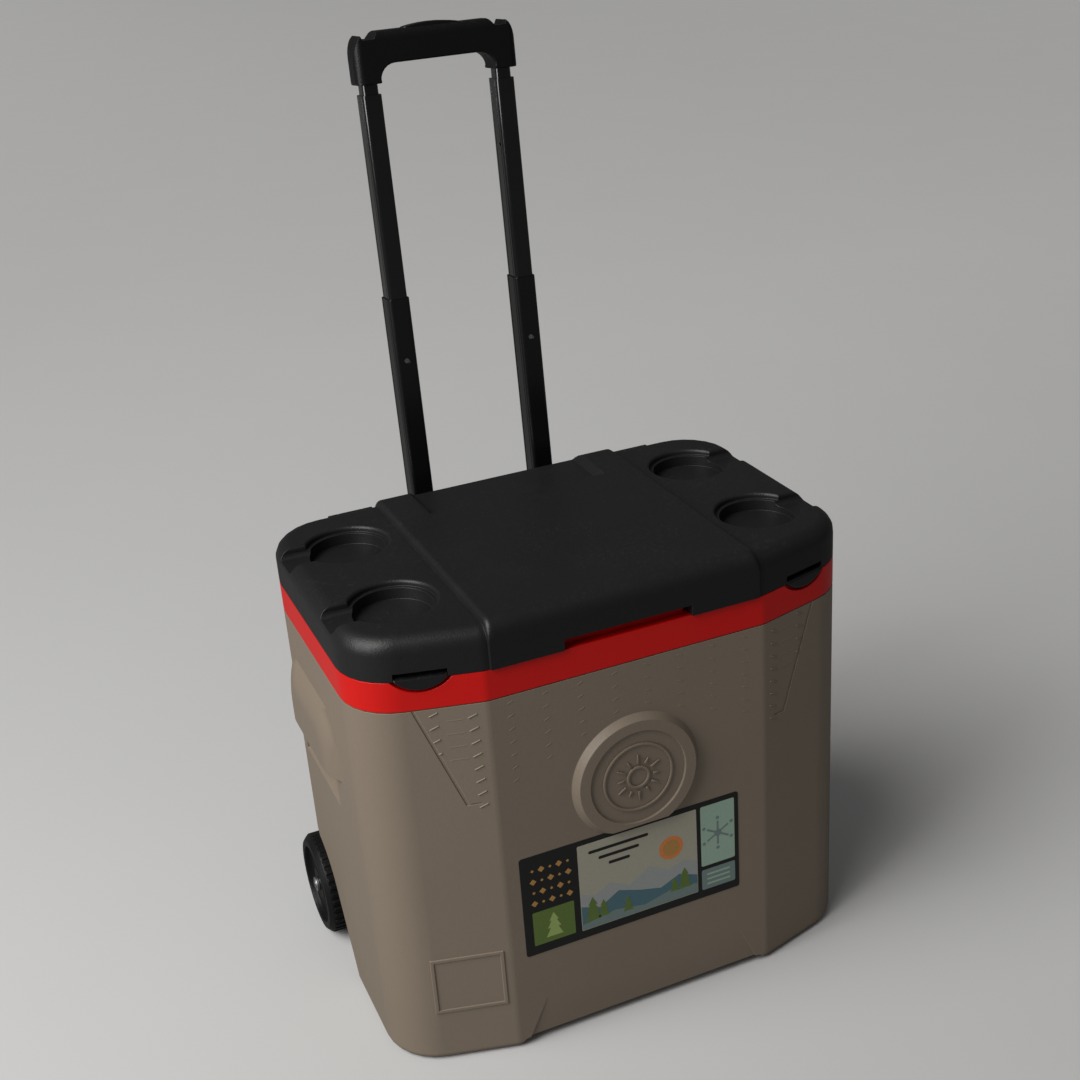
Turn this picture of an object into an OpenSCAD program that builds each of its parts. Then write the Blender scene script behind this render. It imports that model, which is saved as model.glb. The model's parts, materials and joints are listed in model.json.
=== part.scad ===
// Hard-sided cooler on two wheels: insulated body with a red rim, hinged lid with four
// drink holders, and a two-stage telescoping pull handle behind it.
// Millimetres. +Z up, front towards -Y, handle and wheels at +Y, the floor at z = 0.

/* [Body] */
// Length of the body
body_l = 445; // [430:1:470]
// Depth of the body from the middle front panel to the back wall
body_d = 281; // [272:1:296]
// Height of the outer shell
shell_h = 348; // [335:1:370]
// Wall of the outer shell
shell_wall = 3; // [2.5:0.1:3.5]
// Radius of the upright corners
corner_r = 50; // [42:1:56]
// Width of the flat middle panel of the front
front_flat = 246; // [236:1:250]
// How far the front corners stand behind the middle panel
front_sweep = 27; // [22:1:30]
// Radius that softens the upright edges of the middle panel
kink_r = 20; // [12:1:26]
// Rounding of the bottom edge
bottom_r = 8; // [6:1:11]
// Height of the two runners under the body
runner_h = 8; // [6:1:11]
// Width of the gap between the runners
runner_gap = 232; // [220:1:240]
// Height of the shallow hollow low on the front, between the runners
hollow_h = 47; // [40:1:54]
// Depth of that hollow at the floor
hollow_d = 2.4; // [1.5:0.1:3]
// How much narrower that hollow is at its top, each side
hollow_in = 23; // [16:1:30]

/* [Front emblem and plate] */
// Radius of the plain round medallion
medal_r = 59; // [50:1:62]
// Height of the medallion's centre
medal_z = 242; // [238:1:248]
// How far the medallion stands out
medal_proud = 6; // [4:0.5:7]
// Width of the sticker
label_w = 205; // [180:1:215]
// Height of the sticker
label_h = 100; // [85:1:110]
// Distance of the sticker's centre to the left of the middle
label_shift = 7; // [0:1:12]
// Height of the sticker's lower edge
label_z = 94; // [90:1:98]
// Thickness of the sticker
label_t = 0.4; // [0.3:0.1:0.6]
// How far the medallion's side slopes in
medal_slope = 5.5; // [4:0.5:7]
// Distance of the bare raised frame on the left facet from the body's end
plate_in = 63.5; // [62:0.5:66]
// Width of that frame
plate_w = 62; // [52:1:62]
// Height of that frame
plate_h = 56; // [50:1:64]
// Height of the frame's lower edge
plate_z = 52; // [46:1:60]
// How far the frame stands out
plate_proud = 1; // [0.6:0.1:1.4]

/* [Side grips] */
// Length of the moulded hood on each side
hood_l = 140; // [125:1:148]
// Middle of the hood, behind the middle of the body
hood_y = 27; // [17:1:31]
// Height of the hood's lower edge
hood_z = 250; // [242:1:256]
// Height of the hood
hood_h = 60; // [52:1:68]
// How far the hood stands out from the side
hood_proud = 9; // [7:0.5:11]
// How far the hood's ends and top slope before they reach that
hood_soft = 26; // [20:1:26]
// Middle of the finger recess, behind the middle of the body
scoop_y = 31; // [23:1:35]
// Length of the finger recess under the hood
scoop_l = 104; // [92:1:108]
// Height of the finger recess
scoop_h = 37; // [32:1:40]
// Depth of the finger recess in the side
scoop_d = 13; // [10:0.5:15]

/* [Liner and insulation] */
// Distance of the cavity from the outside at the ends
cavity_end = 34; // [32:1:38]
// Distance of the cavity from the outside at the front and back
cavity_side = 30; // [28:1:34]
// Height of the cavity's floor
cavity_floor = 62; // [60:1:70]
// Corner radius of the cavity
cavity_r = 36; // [28:1:44]
// How much the cavity narrows at the floor, each side
cavity_draft = 4; // [2:0.5:6]
// Wall of the liner
liner_t = 2.5; // [2:0.1:3]

/* [Rim] */
// Height of the rim
rim_h = 27; // [24:1:32]
// Wall of the rim
rim_wall = 3; // [2.5:0.1:3.5]
// Height of the shadow groove under the rim
reveal_h = 0.8; // [0.5:0.1:1.2]
// Depth of the shadow groove under the rim
reveal_d = 1.2; // [0.8:0.1:1.6]

/* [Lid] */
// Height of the lid at its ends
lid_h = 36; // [34:1:40]
// How far the middle of the lid rises above its ends
panel_rise = 5.5; // [4:0.5:7]
// Width of the raised middle
panel_w = 236; // [230:1:240]
// How far the raised middle stands out in front
panel_proud = 2.5; // [1:0.5:4]
// Rounding of the raised middle's ends
panel_round = 5; // [3:0.5:5.5]
// Rounding of the lid's top edge
lid_round = 14; // [8:1:15]
// Wall of the lid
lid_wall = 3; // [2.5:0.1:3.5]
// How far the trough for the stowed grip reaches past the fixed tubes, each side
trough_side = 7.2; // [6:0.1:9]
// Length of the trough from the back edge
trough_d = 58; // [52:1:62]
// Depth of the trough
trough_depth = 6.5; // [5.5:0.5:7]
// How much wider the trough is at the top, each side
trough_slope = 6; // [3:0.5:7]
// How far the lid's plug reaches into the cavity
plug_h = 12; // [8:1:14]
// Gap round the plug
plug_gap = 3; // [3:0.5:5]
// Gap between the lid and the rim
lid_gap = 0.4; // [0.3:0.1:0.8]
// Width of the finger slot in the lid's front edge
lift_w = 112; // [100:1:120]
// Height of that slot
lift_h = 10; // [8:1:12]
// Depth of that slot
lift_d = 14; // [12:1:18]

/* [Drink holders] */
// Distance of the holders from the lid's ends
cup_in = 56.5; // [55:0.5:58]
// Distance between the front and back holders
cup_pitch = 124; // [118:1:128]
// How far the holders' middle is in front of the body's middle
cup_shift = -4; // [-7:1:0]
// Radius of a holder at the top
cup_r = 36; // [34:0.5:37]
// Width of the step inside a holder
cup_step = 3.5; // [2.5:0.5:5]
// Depth of that step
cup_step_h = 5; // [4:0.5:6]
// Depth of a holder
cup_depth = 15; // [12:1:18]
// Rounding of the mouths of holders and notches
mouth_r = 3; // [2:0.1:3.2]
// Width of the drain notch to the lid's end
notch_w = 34; // [28:1:38]
// Depth of the drain notch
notch_h = 9; // [7:0.5:10]
// Rounding of the drain notch's bottom corners
notch_r = 5; // [3:0.5:6]

/* [Lid tabs] */
// Distance of the pull tabs from the lid's ends
tab_in = 52.5; // [50:0.5:56]
// Length of a tab
tab_l = 42; // [36:1:46]
// How far a tab hangs below the lid
tab_drop = 9; // [7:0.5:10]
// Thickness of a tab
tab_t = 5; // [4:0.5:6]
// Height of the finger opening above a tab
tab_open = 7; // [4:0.5:8]

/* [Lid hinges] */
// Distance of the hinges from the middle
hinge_x = 140; // [136:1:144]
// Height of the hinge axis above the rim
hinge_up = 26; // [24:1:27]
// Distance of the hinge axis behind the back wall
hinge_out = 1; // [0.5:0.5:1.5]
// Radius of the hinge pin
pin_r = 2; // [1.5:0.1:2.4]
// Radius of a knuckle
knuckle_r = 5.5; // [5:0.5:6]
// Length of the middle knuckle on the bracket
knuckle_l = 22; // [18:1:26]
// Length of each knuckle on the lid
lug_l = 9; // [7:1:11]
// Thickness of the hinge bracket
bracket_t = 4; // [3:0.5:5]
// How far the hinge bracket reaches below the rim's top
bracket_drop = 44; // [40:1:50]

/* [Wheels] */
// Radius of a wheel
wheel_r = 48.5; // [46:0.5:52]
// Width of a wheel
wheel_w = 30; // [26:1:31]
// How far a wheel stands out from the side
wheel_proud = 8.5; // [7:0.5:11]
// Distance of the axle behind the middle of the body
axle_y = 105; // [99:1:109]
// Radius of the axle
axle_r = 4; // [3.5:0.1:4.2]
// Gap round a wheel in its arch
arch_gap = 16; // [8:1:18]
// Gap between a wheel and the inner face of its arch
arch_side = 4; // [3:0.5:5]
// Number of ribs on the tread
tread_ribs = 40; // [30:1:48]
// Height of a tread rib
rib_h = 1.1; // [0.8:0.1:1.6]

/* [Handle] */
// Distance between the two handle tubes
tube_pitch = 123; // [120:1:125]
// Backward lean of the handle in degrees
lean = 3.5; // [3:0.1:4]
// Height of the lower end of the fixed tubes
handle_z = 34; // [30:1:40]
// Distance of the fixed tubes' lower end from the back wall's plane
handle_out = 14.6; // [14:0.1:17]
// Width of the top tubes
top_tube_w = 17.5; // [16:0.5:19]
// Depth of the top tubes
top_tube_d = 21.5; // [20:0.5:23]
// Wall of the tubes
tube_wall = 1; // [0.8:0.1:1.2]
// Running gap between two tubes
tube_gap = 0.3; // [0.2:0.05:0.4]
// Rounding of the tubes' edges
tube_r = 3.5; // [3:0.5:4]
// Width of the four fine flutes along a tube's sides
flute_w = 1.2; // [0.8:0.1:1.6]
// Depth of those flutes
flute_h = 0.4; // [0.2:0.1:0.5]
// Distance of a flute from the tube's front or back face
flute_in = 5.5; // [4.5:0.5:6.5]
// How far the fixed tubes reach above the outer shell
sleeve_up = 17.5; // [12:0.5:22]
// Distance of the upper bracket's screws below the rim
screw_down = 24; // [22:0.5:30]
// Height of the lower bracket's screws above the tubes' lower end
screw_up = 16; // [14:0.5:20]
// Height of a handle bracket
bracket_h = 40; // [36:1:43]
// Length of the middle tubes
mid_length = 270; // [264:1:276]
// Height of the middle tubes' top above the fixed tubes' top, drawn out
mid_out = 217; // [205:1:220]
// Height of the grip's lower end above the middle tubes' top, drawn out
top_out = 185.5; // [178:0.5:190]
// Length of a glide in its tube
glide_l = 24; // [20:1:24]
// Height of a lock pin above its glide's flange
pin_up = 15; // [13:0.5:16]
// Length of the top tubes inside the middle tubes, drawn out
top_overlap = 70; // [60:1:76]
// Width of the neck between a top tube and the grip
neck_w = 14.5; // [13:0.5:15]
// Depth of that neck
neck_d = 15.5; // [14:0.5:17]
// Length of that neck in sight
neck_l = 8.7; // [7:0.1:10]
// How far the neck reaches into the grip
neck_in = 12; // [10:1:14]
// Distance of the small vent hole in a top tube's inner side below the grip
vent_down = 65.5; // [60:0.5:70]
// Radius of the lock pins
lock_r = 2.5; // [2:0.1:3]
// Height of the upper lock pins below the middle tubes' top
lock_down = 57; // [50:1:60]
// Travel of the lock pins
lock_travel = 2.5; // [2:0.1:2.8]

/* [Grip] */
// Width of the grip
grip_w = 148.6; // [146:0.2:152]
// Depth of the grip
grip_d = 27; // [25:0.5:28]
// Height of the grip
grip_h = 45.5; // [43:0.5:48]
// Height of the grip's cross bar, with its button
bar_h = 30; // [27:0.5:32]
// Width of a grip leg
leg_w = 22; // [21:0.5:23]
// Rounding of the grip's outer corners, seen from above
leg_r = 8; // [6:0.5:9]
// Rounding of the cross bar's top edges
bar_r = 7; // [5:0.5:7.5]
// Radius of the hand opening's corners
arch_r = 14; // [12:1:16]
// Width of a horn at the grip's upper corners
horn_w = 16; // [14:0.5:18]
// Height of a horn's round outer side
horn_h = 26; // [22:1:28]
// Depth of a horn's tip below the button's top
horn_down = 5.5; // [5:0.5:6]
// Depth of the notch beside a horn below the button's top
nick_down = 9.2; // [8:0.2:10]
// Width of that notch at its bottom
nick_w = 10; // [9:0.5:11]
// Length of the push button in the grip
button_l = 52; // [46:1:56]
// Width of the push button
button_d = 13; // [11:0.5:14]
// How far the button's middle stands out of the grip
button_proud = 3; // [2.5:0.5:4]
// Travel of the button
button_travel = 4; // [3:0.5:4.5]
// Radius of the push rods
rod_r = 1.5; // [1.2:0.1:1.8]

/* [Hidden] */

taupe = [0.50, 0.46, 0.40];
red = [0.72, 0.05, 0.04];
black = [0.10, 0.10, 0.10];
white = [0.92, 0.92, 0.90];
foam = [0.93, 0.89, 0.70];
steel = [0.72, 0.73, 0.75];
big = 1000;
skin = 0.1;
pin_l = 6;
pin_wall = 0.8;
pin_face = 1.2;
hinge_screw_r = 1.7;
bracket_screw_r = 2;
groove_top = 179;
groove_foot = 145;
groove_end = 134;
groove_z = 256;
button_well = 8;
shelf_t = 4;
collar_wall = 1.5;
collar_h = 14;
screw_head_h = 1.6;
vent_r = 1.5;
vent_y = -3;
fit = 0.1;
run = 0.05;
round_steps = 6;
$fn = 64;

half_l = body_l / 2;
plate_x = half_l - plate_in;
cup_x = half_l - cup_in;
tab_x = half_l - tab_in;
half_d = body_d / 2;
rim_top = shell_h + rim_h;
lid_z = rim_top + lid_gap;
wing_top = rim_top + lid_h;
panel_top = wing_top + panel_rise;
trough_z = panel_top - trough_depth;
sweep_angle = atan(front_sweep / (half_l - front_flat / 2));
cavity_l = body_l - 2 * cavity_end;
cavity_d = body_d - 2 * cavity_side;
hinge_y = half_d + hinge_out;
hinge_z = rim_top + hinge_up;
wheel_x = half_l + wheel_proud - wheel_w / 2;
well_x = wheel_x - wheel_w / 2 - arch_side;
arch_r_out = wheel_r + arch_gap;
mid_tube_w = top_tube_w + 2 * (tube_gap + tube_wall);
mid_tube_d = top_tube_d + 2 * (tube_gap + tube_wall);
sleeve_w = mid_tube_w + 2 * (tube_gap + tube_wall);
sleeve_d = mid_tube_d + 2 * (tube_gap + tube_wall);
trough_w = tube_pitch + sleeve_w + 2 * trough_side;
sleeve_l = (shell_h + sleeve_up - handle_z) / cos(lean);
mid_top = sleeve_l + mid_out;
mid_bottom = mid_top - mid_length;
grip_s = mid_top + top_out;
top_bottom = mid_top - top_overlap;
tube_top = grip_s - neck_l;
lock_s = mid_top - lock_down;
low_lock_s = mid_bottom + pin_up;
lower_screw_s = screw_up;
upper_screw_s = (shell_h - screw_down - handle_z) / cos(lean);
bracket_back = sleeve_d / 2 + 3;
wall_gap = handle_out / cos(lean) + upper_screw_s * tan(lean);
bracket_screw_l = bracket_back + wall_gap + 8;
hinge_screw_l = bracket_t + 6;
handle_base_y = half_d + handle_out;
grip_top = grip_s + grip_h;
bar_s = grip_top - bar_h;
grip_back_s = grip_top - button_proud - bar_r;
back_reach = handle_base_y + grip_back_s * sin(lean) + grip_d / 2 * cos(lean);
front_reach = half_d + medal_proud;
middle_y = (back_reach - front_reach) / 2;

// Points of an arc about c, from angle a to angle b
function arc(c, r, a, b) =
    [for (i = [0:round_steps]) c + r * [cos(a + (b - a) * i / round_steps),
                                       sin(a + (b - a) * i / round_steps)]];

// Points of an oval's arc about c, from angle a to angle b
function oval(c, rx, ry, a, b) =
    [for (p = arc([0, 0], 1, a, b)) c + [rx * p.x, ry * p.y]];

// Height of the swept front facet's line, in y, at x, for an outline set in by inset
function facet_y(x, inset) =
    -half_d + inset / cos(sweep_angle) + (x - front_flat / 2) * tan(sweep_angle);

// Right half of the body's plan, from the front to the back
function half_plan(inset) =
    let (kink = max(kink_r - inset, 2),
         corner = max(corner_r - inset, 4),
         edge = front_flat / 2 - inset * tan(sweep_angle / 2),
         corner_x = half_l - inset - corner,
         corner_y = facet_y(corner_x, inset) + corner / cos(sweep_angle))
    concat(
        arc([edge - kink * tan(sweep_angle / 2), inset - half_d + kink], kink, -90, sweep_angle - 90),
        arc([corner_x, corner_y], corner, sweep_angle - 90, 0),
        arc([corner_x, half_d - inset - corner], corner, 0, 90));

// The whole plan of the body, rim and lid, set in by inset
function plan_points(inset) =
    let (right = half_plan(inset), n = len(right))
    concat(right, [for (i = [n - 1:-1:0]) [-right[i].x, right[i].y]]);

// A rectangle with round corners about the origin
function round_rect(w, d, r) = concat(
    arc([w / 2 - r, r - d / 2], r, -90, 0), arc([w / 2 - r, d / 2 - r], r, 0, 90),
    arc([r - w / 2, d / 2 - r], r, 90, 180), arc([r - w / 2, r - d / 2], r, 180, 270));

module column(inset, z0, z1)
    translate([0, 0, z0]) linear_extrude(z1 - z0) polygon(plan_points(inset));

module bar(w, d, r, z0, z1)
    translate([0, 0, z0]) linear_extrude(z1 - z0) polygon(round_rect(w, d, r));

// A block from corner to corner
module block(low, high)
    translate(low) cube(high - low);

module both_sides() {
    children();
    mirror([1, 0, 0]) children();
}

// A profile drawn in Y and Z, carried along X from x0 to x1
module along_x(x0, x1)
    translate([x0, 0, 0]) rotate([90, 0, 90]) linear_extrude(x1 - x0) children();

// A profile drawn in X and Z, carried along Y from y0 to y1
module along_y(y0, y1)
    translate([0, y1, 0]) rotate([90, 0, 0]) linear_extrude(y1 - y0) children();

// Everything is drawn about the middle of the body, then moved to the row's origin
module placed()
    translate([0, -middle_y, 0]) children();

// The handle leans back: its own z runs along the tubes
module on_handle()
    translate([0, handle_base_y, handle_z]) rotate([-lean, 0, 0]) children();

// A flat piece on the left swept facet, its own x along the facet and y into it
module on_left_facet(x)
    translate([-x, facet_y(x, 0), 0]) rotate([0, 0, -sweep_angle]) children();

// ---------------------------------------------------------------- body

// Round arch over the right wheel; its front edge runs on down in a slanted line
module wheel_arch(grow) {
    reach = arch_r_out + grow;
    top = [for (a = [0:7.5:150]) [axle_y + reach * cos(a), wheel_r + reach * sin(a)]];
    foot = top[len(top) - 1];
    along_x(well_x - grow, big)
        polygon(concat(top, [[foot.x - (foot.y + 1) * tan(30), -1], [axle_y + reach, -1]]));
}

// Soft bulge with a flat underside, as an outline in Y and Z that gets smaller outwards
module hood()
    hull()
        for (t = [0:0.2:1]) {
            inset = hood_soft * t;
            low = hood_y - hood_l / 2 + inset;
            high = hood_y + hood_l / 2 - inset;
            top = hood_z + hood_h - inset;
            along_x(half_l - 1, half_l + hood_proud * (2 - t) * t)
                polygon(concat(
                    [[low, hood_z], [high, hood_z]],
                    arc([high - hood_soft, top - hood_soft], hood_soft, 0, 90),
                    arc([low + hood_soft, top - hood_soft], hood_soft, 90, 180)));
        }

// Finger recess that runs up behind the hood and dies out below
module scoop(grow) {
    lip = 1 + hood_proud / 3;
    up = hood_h / 4 + grow;
    translate([half_l, 0, hood_z])
        along_y(scoop_y - scoop_l / 2 - grow, scoop_y + scoop_l / 2 + grow)
            polygon([[big, 0], [lip, 0], [lip, up], [-scoop_d - grow, up],
                     [-scoop_d - grow, -scoop_h * 0.75], [skin, -scoop_h - grow], [big, -scoop_h - grow]]);
}

module medallion() {
    rim_w = medal_r / 6;
    intersection() {
        translate([0, -half_d + 1, medal_z])
            rotate([90, 0, 0])
                difference() {
                    cylinder(r1 = medal_r, r2 = medal_r - medal_slope, h = medal_proud + 1);
                    translate([0, 0, medal_proud - 1])
                        cylinder(r = medal_r - medal_slope - rim_w, h = big);
                }
        block([-big, -big, label_z + label_h + 1], [big, big, big]);
    }
}

module plate_frame() {
    border = 3;
    on_left_facet(plate_x)
        difference() {
            block([-plate_w / 2, -plate_proud, plate_z], [plate_w / 2, 1, plate_z + plate_h]);
            block([border - plate_w / 2, -big, plate_z + border],
                  [plate_w / 2 - border, 0, plate_z + plate_h - border]);
        }
}

// Shallow hollow low on the front, between slanted edges that run up from the runners
module front_hollow(grow) {
    wide = runner_gap / 2;
    intersection() {
        along_x(-big, big)
            polygon([[-half_d - 1, -1], [grow + hollow_d - half_d, -1], [grow - half_d, hollow_h],
                     [-half_d - 1, hollow_h]]);
        along_y(-big, 0)
            polygon([[-wide - grow, -1], [hollow_in - wide - grow, hollow_h + 1],
                     [wide - hollow_in + grow, hollow_h + 1], [wide + grow, -1]]);
    }
}

module shell_cavity()
    difference() {
        column(shell_wall, runner_h + shell_wall, shell_h + 1);
        both_sides() wheel_arch(shell_wall);
        both_sides() scoop(shell_wall);
        front_hollow(shell_wall);
    }

module outer_shell()
    color(taupe) placed()
        difference() {
            union() {
                hull() {
                    for (a = [0:22.5:67.5])
                        column(bottom_r * (1 - sin(a)), bottom_r * (1 - cos(a)), shell_h / 2);
                    column(0, bottom_r, shell_h);
                }
                both_sides() hood();
                medallion();
                plate_frame();
            }
            shell_cavity();
            both_sides() wheel_arch(0);
            both_sides() scoop(0);
            along_y(-big, big)
                polygon([[-runner_gap / 2 - runner_h, -1], [-runner_gap / 2, runner_h],
                         [runner_gap / 2, runner_h], [runner_gap / 2 + runner_h, -1]]);
            axle_hole(axle_r + 2 * fit);
            screw_holes();
            front_groove();
            front_hollow(0);
        }

// Holes of the hinge and handle screws in the back wall
module screw_holes() {
    both_sides() hinge_screw_places() cylinder(r = hinge_screw_r, h = hinge_screw_l);
    on_handle() bracket_screw_places() cylinder(r = bracket_screw_r, h = bracket_screw_l);
}

// Thin groove that runs down and inwards on both swept facets
module front_groove() {
    w = 1.2;
    both_sides()
        difference() {
            along_y(-big, -half_d + front_sweep)
                polygon([[-groove_top - w, shell_h + 1], [-groove_foot - w, groove_z], [-groove_end, groove_z],
                         [-groove_end, groove_z + w], [w - groove_foot, groove_z + w],
                         [w - groove_top, shell_h + 1]]);
            column(0.8, groove_z - 1, shell_h + 2);
        }
}

module axle_hole(r)
    translate([-half_l, axle_y, wheel_r])
        rotate([0, 90, 0])
            cylinder(r = r, h = body_l);

module cavity_solid(grow, z0, z1)
    hull() {
        bar(cavity_l + 2 * (grow - cavity_draft), cavity_d + 2 * (grow - cavity_draft),
            cavity_r + grow - cavity_draft, z0, z0 + skin);
        bar(cavity_l + 2 * grow, cavity_d + 2 * grow, cavity_r + grow, z1 - skin, z1);
    }

module liner_flange()
    difference() {
        column(shell_wall + fit, shell_h - liner_t, shell_h);
    }

module liner()
    color(white) placed()
        difference() {
            union() {
                cavity_solid(liner_t, cavity_floor - liner_t, shell_h);
                liner_flange();
            }
            cavity_solid(0, cavity_floor, shell_h + skin);
        }

module body_foam()
    color(foam) placed()
        difference() {
            column(shell_wall + fit, runner_h + shell_wall + fit, shell_h - liner_t - fit);
            both_sides() wheel_arch(shell_wall + fit);
            both_sides() scoop(shell_wall + fit);
            front_hollow(shell_wall + fit);
            cavity_solid(liner_t + fit, cavity_floor - liner_t - fit, shell_h);
            axle_hole(axle_tube_r() + fit);
            screw_holes();
        }

function axle_tube_r() = axle_r + 1.4;

// Round recess in the rim's top edge under each pull tab
module tab_recess(r, depth)
    on_left_facet(tab_x)
        translate([0, depth, rim_top - tab_drop - 2 + r])
            rotate([90, 0, 0])
                cylinder(r = r, h = big);

function lens_r(chord, sag) = (chord * chord / 4 + sag * sag) / (2 * sag);

module rim() {
    tongue_y = lift_d - rim_wall - 1.5;
    color(red) placed()
        difference() {
            union() {
                difference() {
                    column(0, shell_h, rim_top);
                    difference() {
                        column(rim_wall, shell_h - 1, rim_top - rim_wall);
                        bar(cavity_l + 2 * rim_wall, cavity_d + 2 * rim_wall, cavity_r + rim_wall,
                            shell_h, rim_top);
                        both_sides() tab_pocket();
                    }
                }
                block([-lift_w / 2 + 2, -half_d + tongue_y, rim_top - 1],
                      [lift_w / 2 - 2, -half_d + tongue_y + rim_wall, rim_top + lift_h - 2]);
            }
            bar(cavity_l, cavity_d, cavity_r, shell_h - 1, rim_top + 1);
            difference() {
                column(-1, shell_h - skin, shell_h + reveal_h);
                column(reveal_d, shell_h - 1, shell_h + 1 + reveal_h);
            }
            both_sides() tab_recess(lens_r(tab_l + 6, tab_drop + 2), tab_t);
        }
}

// Backing that closes the rim behind each tab recess
module tab_pocket()
    on_left_facet(tab_x)
        block([-tab_l / 2 - 6, -2, shell_h], [tab_l / 2 + 6, tab_t + rim_wall, rim_top]);

module front_label() {
    left = -label_shift - label_w / 2;
    color(white) placed()
        block([left, -half_d - label_t, label_z],
              [left + label_w, -half_d, label_z + label_h]);
}

// ---------------------------------------------------------------- lid

module lid_top(inset) {
    r = lid_round;
    hull()
        for (a = [0:15:90])
            column(inset + r * (1 - cos(a)), lid_z, wing_top - inset - r * (1 - sin(a)));
    hull()
        for (a = [0:22.5:90]) {
            half = panel_w / 2 - inset - panel_round * (1 - cos(a));
            top = panel_top - inset - panel_round * (1 - sin(a));
            along_x(-half, half)
                polygon(concat(
                    [[half_d - inset, lid_z]],
                    arc([half_d - inset - r, top - r], r, 0, 90),
                    arc([r - half_d - panel_proud + inset, top - r], r, 90, 180),
                    [[-half_d - panel_proud + inset, lid_z]]));
        }
}

module trough(grow)
    hull()
        for (up = [0, trough_depth])
            block([-trough_w / 2 - grow - up / trough_depth * trough_slope,
                   half_d - trough_d - grow - up / trough_depth * trough_slope, trough_z - grow + up],
                  [trough_w / 2 + grow + up / trough_depth * trough_slope, half_d + 2 * corner_r, panel_top + grow + 1]);

// Side of a mouth that starts half_w from its middle, rounded over at the lid's top
function mouth(half_w, grow) =
    grow > 0 ? [[half_w + grow, big]]
             : concat(arc([half_w + mouth_r, wing_top - mouth_r], mouth_r, 180, 90), [[half_w + mouth_r, big]]);

module cups(grow) {
    step = wing_top - cup_step_h - grow;
    deep = wing_top - cup_depth - grow;
    half = notch_w / 2 + grow;
    low = wing_top - notch_h - grow;
    side_points = mouth(notch_w / 2, grow);
    both_sides()
        for (side = [-1, 1])
            translate([cup_x, side * cup_pitch / 2 - cup_shift, 0]) {
                rotate_extrude()
                    polygon(concat(
                        [[0, deep], [cup_r - cup_step + grow, deep], [cup_r - cup_step + grow, step],
                         [cup_r + grow, step]], mouth(cup_r, grow), [[0, big]]));
                along_x(0, big)
                    polygon(concat(
                        arc([notch_r - half, low + notch_r], notch_r, 180, 270),
                        arc([half - notch_r, low + notch_r], notch_r, 270, 360), side_points,
                        [for (i = [len(side_points) - 1:-1:0]) [-side_points[i].x, side_points[i].y]]));
            }
}

module lift_slot(grow)
    block([-lift_w / 2 - grow, -big, 0], [lift_w / 2 + grow, -half_d + lift_d + grow, rim_top + lift_h + grow]);

// Opening above each pull tab, on the left side
module tab_slot(grow)
    on_left_facet(tab_x)
        block([-tab_l / 2 - grow, -big, 0], [tab_l / 2 + grow, tab_t + 4 + grow, rim_top + tab_open + grow]);

// Room in the lid's back wall for a hinge, on the right side
module hinge_notch(grow) {
    reach = knuckle_l / 2 + 0.5 + grow;
    block([hinge_x - reach, hinge_y - knuckle_r - 0.5 - grow, 0],
          [hinge_x + reach, big, hinge_z + knuckle_r + 0.5 + grow]);
}

module hinge_lug()
    for (side = [-1, 1])
        translate([hinge_x + side * (knuckle_l + lug_l + 1) / 2, hinge_y, hinge_z])
            rotate([0, 90, 0])
                cylinder(r = knuckle_r, h = lug_l, center = true);

module lid_cavity(grow)
    difference() {
        lid_top(grow);
        cups(grow);
        trough(grow);
        lift_slot(grow);
        both_sides() tab_slot(grow);
        both_sides() hinge_notch(grow);
    }

module lid_shell()
    color(black) placed()
        difference() {
            union() {
                lid_top(0);
                both_sides() hinge_lug();
            }
            translate([0, 0, -skin]) lid_cavity(lid_wall);
            block([-big, -big, 0], [big, big, lid_z]);
            cups(0);
            trough(0);
            lift_slot(0);
            both_sides() tab_slot(0);
            both_sides() hinge_notch(0);
            both_sides() hinge_bore(pin_r);
        }

module hinge_bore(r) {
    span = knuckle_l + 2 * lug_l + 6;
    translate([hinge_x - span / 2, hinge_y, hinge_z])
        rotate([0, 90, 0])
            cylinder(r = r, h = span);
}

module lid_foam()
    color(foam) placed()
        intersection() {
            lid_cavity(lid_wall + fit);
            column(0, lid_z + lid_wall + fit, big);
        }

module lid_liner() {
    plug_l = cavity_l - 2 * plug_gap;
    plug_d = cavity_d - 2 * plug_gap;
    color(white) placed()
        difference() {
            union() {
                difference() {
                    column(lid_wall + fit, lid_z, lid_z + lid_wall);
                    lift_slot(lid_wall + fit);
                    both_sides() tab_slot(lid_wall + fit);
                    both_sides() hinge_notch(lid_wall + fit);
                }
                bar(plug_l, plug_d, cavity_r - plug_gap, lid_z - plug_h, lid_z + 1);
            }
            bar(plug_l - 2 * lid_wall, plug_d - 2 * lid_wall, cavity_r - plug_gap - lid_wall,
                lid_z - plug_h - 1, lid_z - skin);
        }
}

// Curved lip below the lid, with a shelf that holds it in the lid's slot
module lid_tab_left() {
    r = lens_r(tab_l, tab_drop);
    color(black) placed()
        on_left_facet(tab_x) {
            intersection() {
                translate([0, tab_t - fit - 0.5, rim_top - tab_drop + r])
                    rotate([90, 0, 0])
                        cylinder(r = r, h = tab_t + 1);
                block([-tab_l / 2 + fit, -big, 0], [tab_l / 2 - fit, big, lid_z + 2]);
            }
            block([-tab_l / 2 + fit, 0, lid_z], [tab_l / 2 - fit, tab_t + 4, lid_z + 2]);
        }
}

module lid_tab_right()
    mirror([1, 0, 0]) lid_tab_left();

// ---------------------------------------------------------------- hinges

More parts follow.
